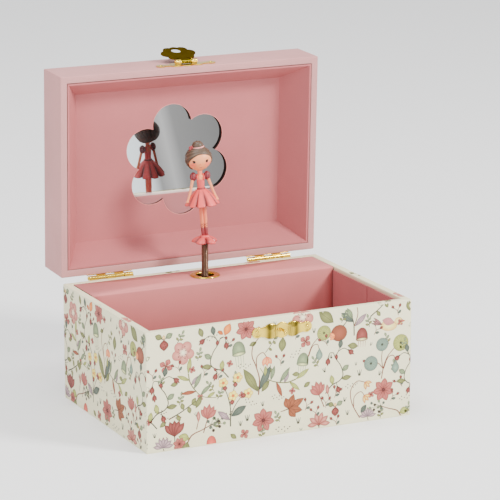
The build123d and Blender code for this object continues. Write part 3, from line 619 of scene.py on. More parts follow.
def make_platform():
    """The paper-covered platform over the movement, folded down over its front."""
    front, back, side = PARTITION_LOW.y, COVER_HIGH.y, COVER_HIGH.x
    top, foot, fold_r = COVER_HIGH.z, PARTITION_LOW.z, 1.3
    hole_r, hole_y = 6.8, FIGURE_AXIS.y
    edge = (-side, side, front + fold_r, back)
    to_corners = {math.atan2(y - hole_y, x) % TAU for x in edge[:2] for y in edge[2:]}
    angles = sorted(to_corners | {TAU * k / 72 for k in range(72)})
    inner, outer = [], []
    for angle in angles:
        dx, dy = math.cos(angle), math.sin(angle)
        limits = ((side, dx), (-side, dx), (edge[2] - hole_y, dy), (edge[3] - hole_y, dy))
        reach = min(limit / part for limit, part in limits if limit * part > 0)
        inner.append(polar(hole_r, angle, top, (0, hole_y)))
        outer.append(polar(reach, angle, top, (0, hole_y)))
    below = [Vector((p.x, p.y, COVER_LOW.z)) for p in inner]
    top_part = (below + inner + outer, ring_faces(3, len(angles)))
    profile = [
        (edge[2], top), *arc((edge[2], top - fold_r), fold_r, TAU / 4, TAU / 2, 6)[1:], (front, foot)
    ]
    columns = [-side + 2 * side * k / 24 for k in range(25)]
    sheet = [Vector((x, y, z)) for y, z in profile for x in columns]
    across = len(columns)
    sheet_faces = [
        (r * across + c, r * across + c + 1, (r + 1) * across + c + 1, (r + 1) * across + c)
        for r in range(len(profile) - 1)
        for c in range(across - 1)
    ]
    points, faces = join_parts([top_part, (sheet, sheet_faces)])
    item = add_piece("platform_paper", points, faces, "deck_paper", "box", sharp=50)
    modify(item, "SOLIDIFY", thickness=0.4 * MM, offset=-1)
    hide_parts("mechanism_cover", "mechanism_partition")


def make_eyelet():
    """The rolled brass eyelet round the spring."""
    top = COVER_HIGH.z
    flange, hole, barrel = GROMMET_HIGH.x, 6.2, 6.9
    roll = 0.75
    profile = [(barrel, GROMMET_LOW.z), (barrel, top), (flange - 0.4, top)]
    profile += arc((flange - roll, top + 0.25), roll, 0, TAU * 0.22, 6)
    profile += [(flange - 1.6, top + 1.08), (hole + 1.3, top + 0.9)]
    profile += arc((hole + 0.9, top + 0.05), 0.9, TAU * 0.25, TAU * 0.5, 6)
    profile += [(hole, GROMMET_LOW.z)]
    points, faces = closed_loft(lathe(profile, 72, (0, FIGURE_AXIS.y)))
    item = add_piece("eyelet", points, faces, "brass", "box", sharp=50)
    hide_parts("grommet")


# ---------------------------------------------------------------- printed meadow
INK_STEP = 0.004  # height of one shape over the one before
PEN = 1.3  # how much wider lines are drawn than written
BLOOM = 1.14  # how much larger motifs are drawn than written


class Print:
    """Painted shapes on one face of the box: u runs right and v down from the rim."""

    def __init__(self, width, shift):
        self.width, self.shift = width, shift
        self.points, self.colours, self.faces, self.heights = [], [], [], []
        self.height = INK_STEP

    def add_heights(self, count):
        """Each shape lies a hair above the one painted before it."""
        self.heights += [self.height] * count
        self.height += INK_STEP

    def fan(self, outline, centre, rim, middle):
        """A closed shape that is one colour in its middle and another at its rim."""
        start = len(self.points)
        self.points += [centre, *outline]
        self.colours += [middle] + [rim] * len(outline)
        self.add_heights(len(outline) + 1)
        count = len(outline)
        self.faces += [(start, start + 1 + k, start + 1 + (k + 1) % count) for k in range(count)]

    def stroke(self, path, wide, narrow, colour):
        """A brush line along a path, wide at its start and narrow at its end."""
        start = len(self.points)
        last = len(path) - 1
        for k, point in enumerate(path):
            ahead = path[min(k + 1, last)] - path[max(k - 1, 0)]
            across = Vector((-ahead.y, ahead.x)).normalized() * (wide + (narrow - wide) * k / last) / 2
            self.points += [point + across, point - across]
        self.colours += [colour] * (2 * len(path))
        self.add_heights(2 * len(path))
        self.faces += [
            (start + 2 * k, start + 2 * k + 1, start + 2 * k + 3, start + 2 * k + 2) for k in range(last)
        ]


class Brush:
    """Draws in a motif's own space: placed, turned, scaled and perhaps mirrored."""

    def __init__(self, target, u, v, size=1.0, turn=0.0, flip=1):
        self.target, self.size, self.flip = target, size, flip
        self.place = Vector((u, v))
        angle = math.radians(turn)
        self.cos, self.sin = math.cos(angle), math.sin(angle)

    def at(self, x, y):
        x *= self.flip
        return self.place + self.size * Vector((x * self.cos - y * self.sin, x * self.sin + y * self.cos))

    def disc(self, x, y, rx, ry, rim, middle, count=16):
        outline = [self.at(x + rx * turn.x, y + ry * turn.y) for turn in circle(count)]
        self.target.fan(outline, self.at(x, y), rim, middle)
        if rx > 1.2:
            self.edge(outline, rim)

    def dot(self, x, y, radius, colour):
        self.disc(x, y, radius, radius, colour, colour, 8)

    def edge(self, outline, colour):
        """A fine darker line round a painted shape."""
        self.target.stroke([*outline, outline[0]], 0.2, 0.15, shade(colour, 0.5))

    def petal(self, x, y, turn, length, width, rim, middle, blunt=0.5):
        """A petal or leaf from (x, y) towards turn degrees; blunt moves its widest part out."""
        angle = math.radians(turn)
        along = Vector((math.cos(angle), math.sin(angle)))
        across = Vector((-along.y, along.x))
        start = Vector((x, y))
        outline = []
        steps = 7
        power = 0.5 / (1 - blunt + 0.001) if blunt > 0.5 else 1.0
        for side in (1, -1):
            for k in range(steps):
                t = k / steps if side > 0 else 1 - k / steps
                half = width / 2 * math.sin(math.pi * t**power)
                spot = start + along * length * t + side * across * half
                outline.append(self.at(spot.x, spot.y))
        middle_spot = start + along * length * max(blunt, 0.5)
        self.target.fan(outline, self.at(middle_spot.x, middle_spot.y), rim, middle)
        self.edge(outline, rim)

    def line(self, points, wide, narrow, colour, steps=5):
        path = smooth_path([(*p, 0) for p in points], steps)
        wide, narrow = (PEN * self.size * width for width in (wide, narrow))
        self.target.stroke([self.at(p.x, p.y) for p in path], wide, narrow, colour)

    def ray(self, x, y, turn, length, wide, narrow, colour, steps=3):
        """A straight stroke from (x, y) towards turn degrees."""
        tip = polar(length, math.radians(turn), 0, (x, y))
        self.line([(x, y), (tip.x, tip.y)], wide, narrow, colour, steps)

    def leaf(self, x, y, turn, length, width, tint, vein=True):
        rim, middle = LEAVES[tint]
        self.petal(x, y, turn, length, 1.2 * width, rim, middle)
        if vein:
            self.ray(x, y, turn, 0.85 * length, 0.22, 0.1, shade(rim, 0.72))


LEAVES = {
    "olive": (paint(150, 152, 96), paint(184, 186, 132)),
    "sage": (paint(150, 162, 132), paint(190, 198, 168)),
    "lime": (paint(182, 184, 116), paint(208, 210, 156)),
    "slate": (paint(112, 126, 112), paint(150, 160, 144)),
    "mauve": (paint(176, 156, 162), paint(210, 198, 198)),
    "mint": (paint(150, 168, 156), paint(186, 198, 184)),
    "rust": (paint(180, 112, 74), paint(200, 140, 100)),
}
STEM = paint(98, 96, 74)
TWIG = paint(164, 100, 76)
INK_RED = paint(158, 80, 70)
INK_CORAL = paint(194, 124, 112)
INK_PINK = paint(208, 160, 148)
INK_BLUSH = paint(216, 188, 176)
INK_DARK = paint(84, 44, 44)
INK_YELLOW = paint(236, 212, 130)
INK_AMBER = paint(214, 156, 76)


def bud(b, x, y, turn, size=1.0):
    """A nodding red bud of three narrow petals."""
    for spread, length in ((-20, 3.8), (20, 3.8), (0, 4.8)):
        b.petal(x, y, turn + spread, length * size, 1.55 * size, INK_RED, INK_CORAL)
    b.dot(x, y, 0.5 * size, INK_DARK)


def bell_sprig(b):
    b.line([(9, 14), (5, 9.6), (0, 7.5), (-2.2, 4), (-0.6, -1.5), (2.6, -6), (4, -9.5)], 0.55, 0.35, STEM)
    b.line([(2.6, -6), (1.2, -9.6), (-2.6, -11.4), (-6, -9.6)], 0.42, 0.3, STEM)
    b.line([(4, -9.5), (6.4, -9.6), (7.4, -6.6)], 0.36, 0.26, STEM)
    b.line([(1.2, -9.6), (0, -12)], 0.3, 0.2, STEM)
    b.line([(2, 8.3), (1.5, 11)], 0.3, 0.25, STEM)
    bud(b, -5.6, -10, 140)
    bud(b, 7.4, -6.8, 85)
    bud(b, 1.5, 10.6, 110)
    bud(b, 1.8, -5.4, -75, 0.7)
    b.leaf(0, -11.6, -100, 5.4, 2.4, "slate")
    b.leaf(-1.6, 1.8, 215, 5.2, 2.6, "sage")
    b.leaf(-1.2, 6.4, 185, 6.4, 2.4, "olive")
    b.leaf(4.4, 9.2, -80, 5.8, 2.4, "lime")


def open_flower(b, petals=7, length=6.4, width=3.7):
    for k in range(petals):
        turn = 360 * k / petals + 12
        b.petal(0, 0, turn, length, width, INK_CORAL, INK_PINK, 0.62)
        b.ray(0, 0, turn, 0.72 * length, 0.42, 0.12, INK_RED)
    b.disc(0, 0, 0.95, 0.95, INK_DARK, INK_RED, 10)


def dotted_flower(b):
    for k in range(5):
        angle = TAU * k / 5 + 0.3
        b.disc(4.0 * math.cos(angle), 4.0 * math.sin(angle), 2.9, 2.9, INK_PINK, INK_BLUSH)
    b.disc(0, 0, 2.6, 2.6, INK_BLUSH, paint(238, 226, 214))
    for k in range(10):
        angle = TAU * k / 10
        reach = 2.0 if k % 2 else 3.5
        b.dot(reach * math.cos(angle), reach * math.sin(angle), 0.36, INK_DARK)


def cross_flower(b):
    for k in range(4):
        b.petal(0, 0, 90 * k + 18, 4.3, 3.3, INK_CORAL, INK_PINK, 0.62)
        b.ray(0, 0, 90 * k + 18, 2.8, 0.5, 0.15, INK_RED)


def strawberry(b):
    b.line([(-3.5, -3), (0, -1.4), (3.6, -3.4)], 0.4, 0.3, STEM)
    b.leaf(-1, -2, 205, 4.8, 2.8, "olive")
    b.leaf(1, -2, -28, 4.8, 2.8, "sage")
    b.petal(0, -1.2, 90, 6.4, 5.4, INK_RED, INK_CORAL, 0.4)
    for x, y in ((-1.1, 0.8), (0.2, 1.6), (1.2, 0.6), (-0.4, 2.9), (0.8, 2.8), (0, 0)):
        b.disc(x, y, 0.24, 0.3, INK_DARK, INK_DARK, 6)
    b.petal(0, -1.4, -95, 2.4, 1.6, paint(238, 204, 160), paint(240, 220, 190))


def mushroom(b, rim=None, middle=None, ghost=True):
    rim, middle = rim or LEAVES["sage"][0], middle or LEAVES["sage"][1]
    turns = [math.pi * k / 10 for k in range(11)]
    cap = [b.at(4.2 * math.cos(math.pi - turn), 0.6 - 7.2 * math.sin(turn) ** 0.8) for turn in turns]
    b.target.fan([b.at(-4.2, 1), *cap, b.at(4.2, 1)], b.at(0, -2), rim, middle)
    b.disc(0, 1.0, 4.1, 1.1, rim, paint(234, 226, 200))
    for x in (-2.4, -0.8, 0.9, 2.5):
        b.line([(x, 2.2), (x * 0.9, 9.4 if ghost else 6)], 0.28, 0.12, shade(middle, 1.02), 4)


def tall_nodder(b):
    b.line([(0, 17), (0.6, 8), (-1.6, 0), (-4, -6), (-3.4, -12), (0, -16)], 0.6, 0.4, TWIG)
    b.line([(-1.2, 1), (-1, -5), (2.6, -7.4), (5, -4.6)], 0.45, 0.35, TWIG)
    for turn in (55, 85, 115):
        b.petal(5, -4.8, turn, 5.6, 2.9, paint(222, 160, 116), paint(236, 206, 172), 0.55)
    for x in (3.2, 5.2, 7.2):
        b.line([(x, 0), (x + 0.3, 1.6)], 0.3, 0.2, INK_CORAL, 3)
    b.leaf(-0.4, 15, 238, 17, 4.4, "olive")
    b.leaf(0.6, 14, -62, 15, 3.8, "slate")


def olive_branch(b):
    b.line([(-3, -8), (-1.8, -2.6), (1.6, 2.6), (6, 6.4), (14, 8)], 0.55, 0.3, LEAVES["olive"][0])
    leaves = (
        (-3, -8, -82, 9.5, 2.2, "lime"), (-2.2, -4, 205, 8.4, 1.9, "lime"),
        (-1.2, -1.2, -48, 6.4, 1.9, "mauve"), (0.4, 1.2, -62, 10, 2.2, "sage"),
        (1.8, 2.8, 178, 9.4, 1.9, "rust"), (4.4, 5.2, -40, 8.2, 2.0, "sage"),
        (5, 5.8, 118, 7.6, 2.6, "olive"), (8.4, 7.2, -28, 5.6, 1.6, "lime"),
    )
    for leaf in leaves:
        b.leaf(*leaf)


def buttercups(b):
    b.line([(0, 16), (0, 9), (-0.2, 4), (-2.4, -4), (-5, -8)], 0.6, 0.3, STEM)
    b.line([(0, 10), (3, 4), (7, -1)], 0.42, 0.3, STEM)
    b.line([(-0.2, 4), (1.4, -1), (2.6, -9)], 0.4, 0.3, STEM)
    for x, y in ((-4.4, -10), (4.6, -12), (1.6, -1.8), (11, -2)):
        for k in range(5):
            angle = TAU * k / 5
            b.disc(
                x + 1.7 * math.cos(angle), y + 1.7 * math.sin(angle), 1.35, 1.35, INK_YELLOW,
                paint(240, 226, 176), 10
            )
        b.dot(x, y, 0.95, INK_AMBER)
    for x, y in ((-3.4, -6.8), (3, -8.2), (1, 1.8), (8.2, -1.2)):
        b.petal(x, y + 1.6, -90, 3.0, 2.8, INK_RED, INK_CORAL, 0.55)
    b.leaf(0.4, 10, -28, 10.6, 3.6, "slate")
    b.leaf(-0.4, 12, 218, 9.6, 2.8, "mauve")


def crocus(b):
    b.line([(-1.4, 12), (-0.6, 7), (0, 4)], 0.5, 0.4, TWIG)
    for turn, length in ((-130, 7.4), (-112, 8.4), (-90, 9.0), (-68, 8.4), (-50, 7.4)):
        b.petal(0, 4.2, turn, length, 3.0, INK_CORAL, INK_PINK, 0.6)
    b.line([(-6, 10), (-5.4, 4)], 0.4, 0.3, TWIG)
    b.petal(-5.4, 5.6, -98, 6.2, 2.2, INK_CORAL, INK_BLUSH)


def poppy(b):
    b.line([(0.4, 12), (0, 4)], 0.5, 0.4, STEM)
    for turn in (-128, -108, -90, -72, -52):
        b.petal(0, 5, turn, 9.6, 3.6, INK_RED, INK_CORAL, 0.62)
    for k in range(6):
        b.dot(-4 + 1.6 * k, -6.4 + 0.5 * (k % 2), 0.34, INK_RED)


def berry_twig(b):
    b.line([(-7, 6), (-4, 1.6), (2, -0.6), (8, -3)], 0.65, 0.4, TWIG)
    b.leaf(-5.6, 3.4, 200, 7.0, 4.0, "lime")
    b.leaf(-6.8, 5, 105, 8.2, 4.2, "olive")
    berries = (
        (6, -5), (9.4, -6.4), (12.4, -4.4), (14.8, -5.8), (10, -2.4), (13, -1.2), (7.4, -1.4), (16, -2.8),
        (9.2, 0.6),
    )
    for k, (x, y) in enumerate(berries):
        rim, middle = (LEAVES["slate"], LEAVES["sage"], (INK_DARK, STEM))[k % 3]
        b.disc(x, y, 0.95, 0.95, rim, middle, 10)
        b.line([(7.6, -3), (x, y)], 0.2, 0.15, STEM, 2)


def seed_head(b, x, y, radius, tint):
    rim, middle = LEAVES[tint]
    b.disc(x, y, radius, radius, shade(rim, 1.08), shade(middle, 1.06), 20)
    for k in range(14):
        b.ray(x, y, 360 * k / 14, 0.86 * radius, 0.22, 0.12, shade(rim, 0.86), 2)
    b.dot(x, y, 0.7, STEM)


def dandelions(b, twin=True):
    b.line([(0, 16), (1.4, 9), (4, 3), (9, -2)], 0.5, 0.35, TWIG)
    seed_head(b, 12.4, -4, 5.0, "lime")
    b.line([(1.4, 10), (4, 4), (7.6, 3), (9, 6.4)], 0.42, 0.3, TWIG)
    b.petal(9.2, 5.6, 92, 8.4, 4.8, LEAVES["mint"][0], LEAVES["mint"][1], 0.62)
    if twin:
        b.line([(1, 11), (0, 4), (0.4, -1)], 0.42, 0.3, TWIG)
        seed_head(b, 0.2, -4.4, 3.9, "mint")
        b.line([(1, 10), (-2, 6.6), (-4.4, 6)], 0.36, 0.3, TWIG)
        seed_head(b, -7, 6, 4.4, "mint")


def tall_dandelion(b):
    dandelions(b, False)


def nodding_yellow(b):
    b.line([(1, 13), (-4, 4), (-5, -4), (-1, -9), (4, -8)], 0.5, 0.35, TWIG)
    b.line([(-3, 6), (-2.6, 0), (1.4, -2.6), (4, 0)], 0.42, 0.3, TWIG)
    for x, y in ((5, -8), (4.4, 0)):
        for turn in (10, 45, 80):
            b.petal(x - 1, y, turn, 4.8, 1.9, INK_AMBER, paint(236, 220, 176))
    b.leaf(1.6, 10, -50, 5.6, 2.6, "slate")


def tuft(b):
    for x in (-1.3, 0, 1.3):
        b.line([(x * 0.3, 1.2), (x, -1.6)], 0.42, 0.2, LEAVES["slate"][0], 3)
    b.disc(0, 1.2, 0.8, 0.55, STEM, STEM, 8)


def seeds(b):
    for x, y in (
        (-4, 0), (-2.4, -1.2), (-2.6, 1.2), (-0.4, 0.2), (1.2, -1.2), (1.6, 1.3), (3.4, 0), (4.6, -1.1)
    ):
        b.dot(x, y, 0.42, INK_DARK)


def songbird(b):
    body, wing = paint(222, 208, 160), paint(206, 168, 166)
    b.disc(0, 0, 5.4, 3.1, body, paint(234, 226, 198))
    b.disc(6.2, -2.6, 2.5, 2.2, body, paint(236, 228, 200))
    b.petal(8.2, -2.6, -6, 2.2, 0.9, INK_AMBER, INK_AMBER)
    b.petal(3.4, -1.6, 192, 8.2, 4.6, wing, shade(wing, 1.1), 0.5)
    for turn in (186, 200, 214):
        b.petal(-4.4, -0.6, turn, 7.4, 1.3, paint(150, 110, 108), wing)
    b.dot(7.0, -3.0, 0.3, INK_DARK)


def round_fruit(b):
    b.disc(0, 0, 4.9, 4.6, paint(172, 106, 70), paint(196, 134, 98))
    for turn in (150, 180, 210):
        b.petal(-2.4, 1.4, turn, 3.8, 1.7, paint(226, 170, 110), paint(238, 200, 150))
    b.line([(2.4, -3.6), (4.6, -6)], 0.5, 0.3, STEM)


def autumn_leaf(b):
    for turn, length in ((-90, 11), (-50, 9), (-130, 9), (-12, 7), (192, 7)):
        b.petal(0, 3, turn, length, 4.4, paint(178, 116, 72), paint(194, 138, 92), 0.5)
        b.ray(0, 3, turn, 0.8 * length, 0.28, 0.12, paint(140, 74, 40))
    b.line([(0, 3), (-1.4, 8)], 0.5, 0.3, paint(140, 74, 40))


def folk_flower(b):
    for k in range(6):
        b.petal(0, 0, -180 + 36 * k, 6.6, 2.6, INK_CORAL, INK_BLUSH, 0.62)
    b.disc(0, 0.2, 1.0, 0.8, INK_RED, INK_CORAL, 8)
    b.line([(0, 0.4), (0.4, 6)], 0.5, 0.4, STEM)


def lilac_bloom(b):
    for k in range(7):
        b.petal(0, 2, -168 + 26 * k, 7, 2.4, LEAVES["mauve"][0], LEAVES["mauve"][1], 0.6)
    for x in (-2.4, 0, 2.2):
        b.disc(x, -4.4, 0.36, 0.36, INK_RED, INK_CORAL, 8)
    b.line([(0, 2.4), (1, 8)], 0.45, 0.3, STEM)


def leafy_sprig(b):
    b.line([(0, 8), (-0.6, 0), (-4, -7)], 0.5, 0.35, STEM)
    b.line([(0, 3), (2, -3), (1.4, -8)], 0.4, 0.3, TWIG)
    b.leaf(-0.6, 0.6, 218, 9, 3.2, "slate")
    b.leaf(0.4, 3, -42, 9, 2.4, "mauve")
    b.leaf(-1, -1, -118, 7, 2.2, "sage")


def thorn_twig(b):
    b.line([(-6, 3), (0, -0.4), (5, -4)], 0.5, 0.35, STEM)
    for x, y, turn in ((-2, 0.8, 60), (1, -1.4, -110), (3.4, -3, 70), (5, -4, -60), (5, -4, -10)):
        b.leaf(x, y, turn, 3.6, 1.8, "olive", False)


def plain_leaf(b, tint="olive", length=9.5, width=4.4):
    b.leaf(-length / 2, 0, 0, length, width, tint)


def small_cone(b):
    b.petal(0, 2, -62, 7.4, 4.6, INK_AMBER, paint(232, 190, 120), 0.5)
    b.petal(-1, 1.4, -140, 4, 2.2, paint(206, 140, 70), INK_AMBER)
    b.line([(-1, 3), (-3, 3.8)], 0.4, 0.3, STEM)


def red_cap(b):
    mushroom(b, INK_RED, INK_CORAL, False)


def half_cap(b):
    b.disc(0, 0, 3.0, 4.4, paint(206, 124, 104), paint(222, 156, 136))


# Each motif with its centre in millimetres from the left edge and the rim, then size, turn, flip.
MEADOW_REPEAT = 190.0
MEADOW = (
    (strawberry, 12.5, 7, 1.0, 0, 1), (small_cone, 54.5, 5.6, 1.0, 0, 1),
    (dotted_flower, 25.6, 15.6, 1.0, 0, 1), (cross_flower, 13.8, 23, 1.0, 10, 1),
    (bell_sprig, 47, 20, 1.0, 0, 1), (mushroom, 64.5, 20.4, 1.0, -6, 1),
    (open_flower, 69.6, 5.6, 1.0, 0, 1), (tall_nodder, 78.4, 31, 1.0, 0, 1),
    (thorn_twig, 87, 19, 0.7, -20, 1), (plain_leaf, 95.4, 19, 0.9, 95, 1),
    (olive_branch, 32.5, 39, 1.0, 0, 1), (olive_branch, 95, 44, 1.05, 66, -1),
    (buttercups, 58.5, 50.5, 1.0, 0, 1), (bell_sprig, 12.6, 43, 1.0, 0, -1),
    (lilac_bloom, 11.5, 74.5, 0.9, 0, 1), (thorn_twig, 24, 55, 1.2, 6, 1), (crocus, 43, 57, 1.0, 8, 1),
    (poppy, 19.3, 64.5, 1.0, 0, 1), (open_flower, 22.6, 75.4, 0.62, 30, 1), (berry_twig, 36, 69, 1.0, 0, 1),
    (half_cap, 45, 78, 1.0, 0, 1), (tuft, 5.5, 67.5, 0.8, 0, 1), (tuft, 70.4, 64.6, 1.1, 0, 1),
    (tuft, 65.6, 67.6, 0.9, 0, 1), (open_flower, 81.8, 67.8, 1.12, 0, 1),
    (plain_leaf, 60.6, 75.6, 0.5, 40, 1), (cross_flower, 68.4, 75, 0.72, 40, 1),
    (autumn_leaf, 103, 61, 1.0, 62, 1), (seeds, 95.6, 75.6, 1.0, 4, 1), (tuft, 107, 71.5, 1.1, 0, 1),
    (tuft, 109, 78, 0.7, 0, 1), (plain_leaf, 127, 4.6, 1.25, 38, 1), (leafy_sprig, 147.5, 9.4, 1.1, 0, 1),
    (thorn_twig, 166.4, 3.6, 1.1, -6, 1), (songbird, 173, 15.8, 1.0, 6, 1),
    (round_fruit, 136.4, 16.4, 1.05, 0, 1), (red_cap, 153.2, 21.6, 0.92, 0, 1),
    (plain_leaf, 146.6, 26.2, 0.72, 10, 1), (tuft, 160, 26.6, 0.6, 20, 1), (dandelions, 168, 33, 1.0, 0, 1),
    (bell_sprig, 137, 40, 1.0, 0, -1), (dotted_flower, 110, 2.6, 1.0, 0, 1),
    (bell_sprig, 187.4, 48, 0.95, 0, 1), (nodding_yellow, 151, 61, 1.0, 0, 1),
    (open_flower, 169.6, 59, 1.1, 8, 1), (folk_flower, 122, 76, 1.1, 0, 1), (tuft, 151.6, 45, 1.1, 0, 1),
    (tuft, 149, 38.6, 0.6, 0, 1), (crocus, 121, 52, 1.0, -14, -1), (berry_twig, 176, 73, 0.9, 0, -1),
    (strawberry, 134, 67, 0.9, 0, 1), (lilac_bloom, 158, 74, 0.8, 0, 1), (mushroom, 110, 33, 0.9, 8, 1),
    (plain_leaf, 188, 4, 0.7, 80, 1), (cross_flower, 112, 19, 0.9, 20, 1), (tuft, 143, 71, 0.9, 0, 1),
    (plain_leaf, 38, 4, 0.6, 70, 1), (tall_dandelion, 113, 19, 1 / BLOOM, 0, 1),
)


def small_sprig(b):
    b.line([(0, 3.4), (0.3, 0), (-0.4, -3.2)], 0.36, 0.22, STEM)
    for y, turn in ((2.0, 205), (1.2, -30), (-0.4, 215), (-1.2, -40), (-3.0, -95)):
        b.leaf(0, y, turn, 2.9, 1.3, "olive" if y > 0 else "sage", False)


def twin_buds(b):
    b.line([(0, 4), (-0.4, 0.4), (-2.4, -2.0)], 0.34, 0.22, TWIG)
    b.line([(-0.4, 0.8), (1.8, -1.6)], 0.3, 0.2, TWIG)
    bud(b, -2.4, -1.8, -120, 0.62)
    bud(b, 1.8, -1.4, -60, 0.62)
    b.leaf(0, 2.6, -35, 3.2, 1.5, "slate", False)


FILLERS = (small_sprig, tuft, twin_buds, cross_flower, small_sprig, seeds, plain_leaf, twin_buds)


def fill_gaps(motifs):
    """Small sprigs and buds wherever the layout leaves a gap, in a fixed quasi-random order."""
    placed = [(u, v) for _, u, v, *_ in motifs]
    extra = []
    for k in range(900):
        u, v = 0.6180 * MEADOW_REPEAT * k % MEADOW_REPEAT, 3.0 + 0.7549 * 74 * k % 74
        half = MEADOW_REPEAT / 2
        if min(math.hypot((u - x + half) % MEADOW_REPEAT - half, v - y) for x, y in placed) > 8.2:
            placed.append((u, v))
            kind = FILLERS[len(extra) % len(FILLERS)]
            size = 0.5 if kind in (cross_flower, plain_leaf) else 0.85
            extra.append((kind, u, v, size, 47 * len(extra) % 70 - 35, 1))
    return extra


def wrapped_point(u, v, lift, width):
    """Distance along the face, inset from the face and height, over the rounded edges."""
    u = min(max(u, max(0.0, -v)), width - max(0.0, -v))
    v = min(max(v, 0.4 - BOARD_AND_PAPER), RIM_Z - 0.6)
    inset, height, lean = 0.0, RIM_Z - v, 0.0
    if abs(v) < EDGE_R:
        lean = TAU / 8 * (1 - v / EDGE_R)
        inset, height = EDGE_R * (1 - math.cos(lean)), RIM_Z - EDGE_R * (1 - math.sin(lean))
    elif v < 0:
        inset, height, lean = -v, RIM_Z, TAU / 4
    along = u
    near = min(u, width - u)
    if near < CORNER_R:
        angle = TAU / 8 * (1 - near / CORNER_R)
        inset += CORNER_R * (1 - math.cos(angle))
        away = CORNER_R * (1 - math.sin(angle))
        along = away if u < width / 2 else width - away
    return along, inset - lift * math.cos(lean), height + lift * math.sin(lean)


def make_print(side, width, shift, place):
    """The printed meadow on one side of the body, and where it folds over the rim."""
    target = Print(width, shift)
    margin = 22.0
    for motif, u, v, size, turn, flip in (*fill_gaps(MEADOW), *MEADOW):
        for repeat in (-1, 0, 1):
            spot = u - shift + repeat * MEADOW_REPEAT
            if -margin < spot < width + margin:
                target.height = 5 * INK_STEP
                motif(Brush(target, spot, v, BLOOM * size, turn, flip))
    spots = zip(target.points, target.heights)
    points = [place(*wrapped_point(spot.x, spot.y, height, width)) for spot, height in spots]
    item = add_piece(f"print_{side}", points, target.faces, "ink", "box", sharp=0)
    mesh = item.data
    shown = mesh.attributes.new("ink", "FLOAT_COLOR", "POINT")
    shown.data.foreach_set("color", [c for colour in target.colours for c in colour])
    work = bmesh.new()
    work.from_mesh(mesh)
    flat = [face for face in work.faces if face.calc_area() < 1e-10]
    bmesh.ops.delete(work, geom=flat, context="FACES")
    loose = [vertex for vertex in work.verts if not vertex.link_faces]
    bmesh.ops.delete(work, geom=loose, context="VERTS")
    outward = Vector(place(width / 2, -10, RIM_Z / 2)) - Vector(place(width / 2, 0, RIM_Z / 2))
    work.normal_update()
    for face in work.faces:
        facing = face.normal.dot(outward)
        if facing < -0.1 or (facing <= 0.1 and face.normal.z < 0):
            face.normal_flip()
    work.to_mesh(mesh)
    work.free()


def make_prints():
    """The meadow runs on round the box, with each side starting at another place in it."""
    make_print("front", 2 * HALF_W, 0, lambda a, i, z: (a - HALF_W, i - HALF_D, z))
    make_print("left", 2 * HALF_D, 8, lambda a, i, z: (i - HALF_W, HALF_D - a, z))
    make_print("right", 2 * HALF_D, 96, lambda a, i, z: (HALF_W - i, a - HALF_D, z))
    make_print("back", 2 * HALF_W, 60, lambda a, i, z: (HALF_W - a, HALF_D - i, z))


# ---------------------------------------------------------------- stamped brass
def stamped_plate(half_height, half_length, relief):
    """A stamped sheet: a grid between mirrored outlines, raised by relief(x, z), thinner at its rim."""
    columns, rows = 150, 18
    front, back = [], []
    for c in range(columns + 1):
        x = half_length * math.sin(math.pi / 2 * (2 * c / columns - 1))
        tall = half_height(x)
        for r in range(rows + 1):
            t = 2 * r / rows - 1
            z = tall * math.sin(math.pi / 2 * t)
            rim = min(1.0, (1 - abs(t)) * 2.2) ** 0.5
            end = min(1.0, max(0.0, half_length - abs(x)) / 0.6) ** 0.5
            body = min(rim, end)
            front.append(Vector((x, z, LEAF * (1 - 0.35 * (1 - body)) + relief(x, z) * body)))
            back.append(Vector((x, z, 0)))
    across = rows + 1
    faces = []
    size = len(front)
    for c in range(columns):
        for r in range(rows):
            a = c * across + r
            faces.append((a, a + 1, a + across + 1, a + across))
            faces.append((size + a, size + a + across, size + a + across + 1, size + a + 1))
        low, high = c * across, c * across + rows
        faces.append((low, low + across, size + low + across, size + low))
        faces.append((high, size + high, size + high + across, high + across))
    return front + back, faces


def lobe(x, centre, rx, ry):
    """Height of an ellipse over its axis at x, or 0 outside it."""
    inside = 1 - ((x - centre) / rx) ** 2
    return ry * math.sqrt(inside) if inside > 0 else 0.0


def scroll_outline(half, lobe_r, centre_r, height):
    """Half height of the scrolled plate at x: an arm, round ends, two bumps and a middle."""
    def tall(x):
        arm = height * 0.30 * (1 - 0.08 * math.cos(x * 1.7)) if abs(x) < half else 0.0
        parts = [arm, lobe(x, 0, centre_r, centre_r), 0.04]
        for side in (-1, 1):
            parts += [
                lobe(x, side * half, lobe_r, lobe_r),
                lobe(x, side * half * 0.45, half * 0.33, height * 0.47)
            ]
        return max(parts)

    return tall


def bell_curve(distance, width):
    """1 at no distance, falling off smoothly."""
    return math.exp(-((distance / width) ** 2))


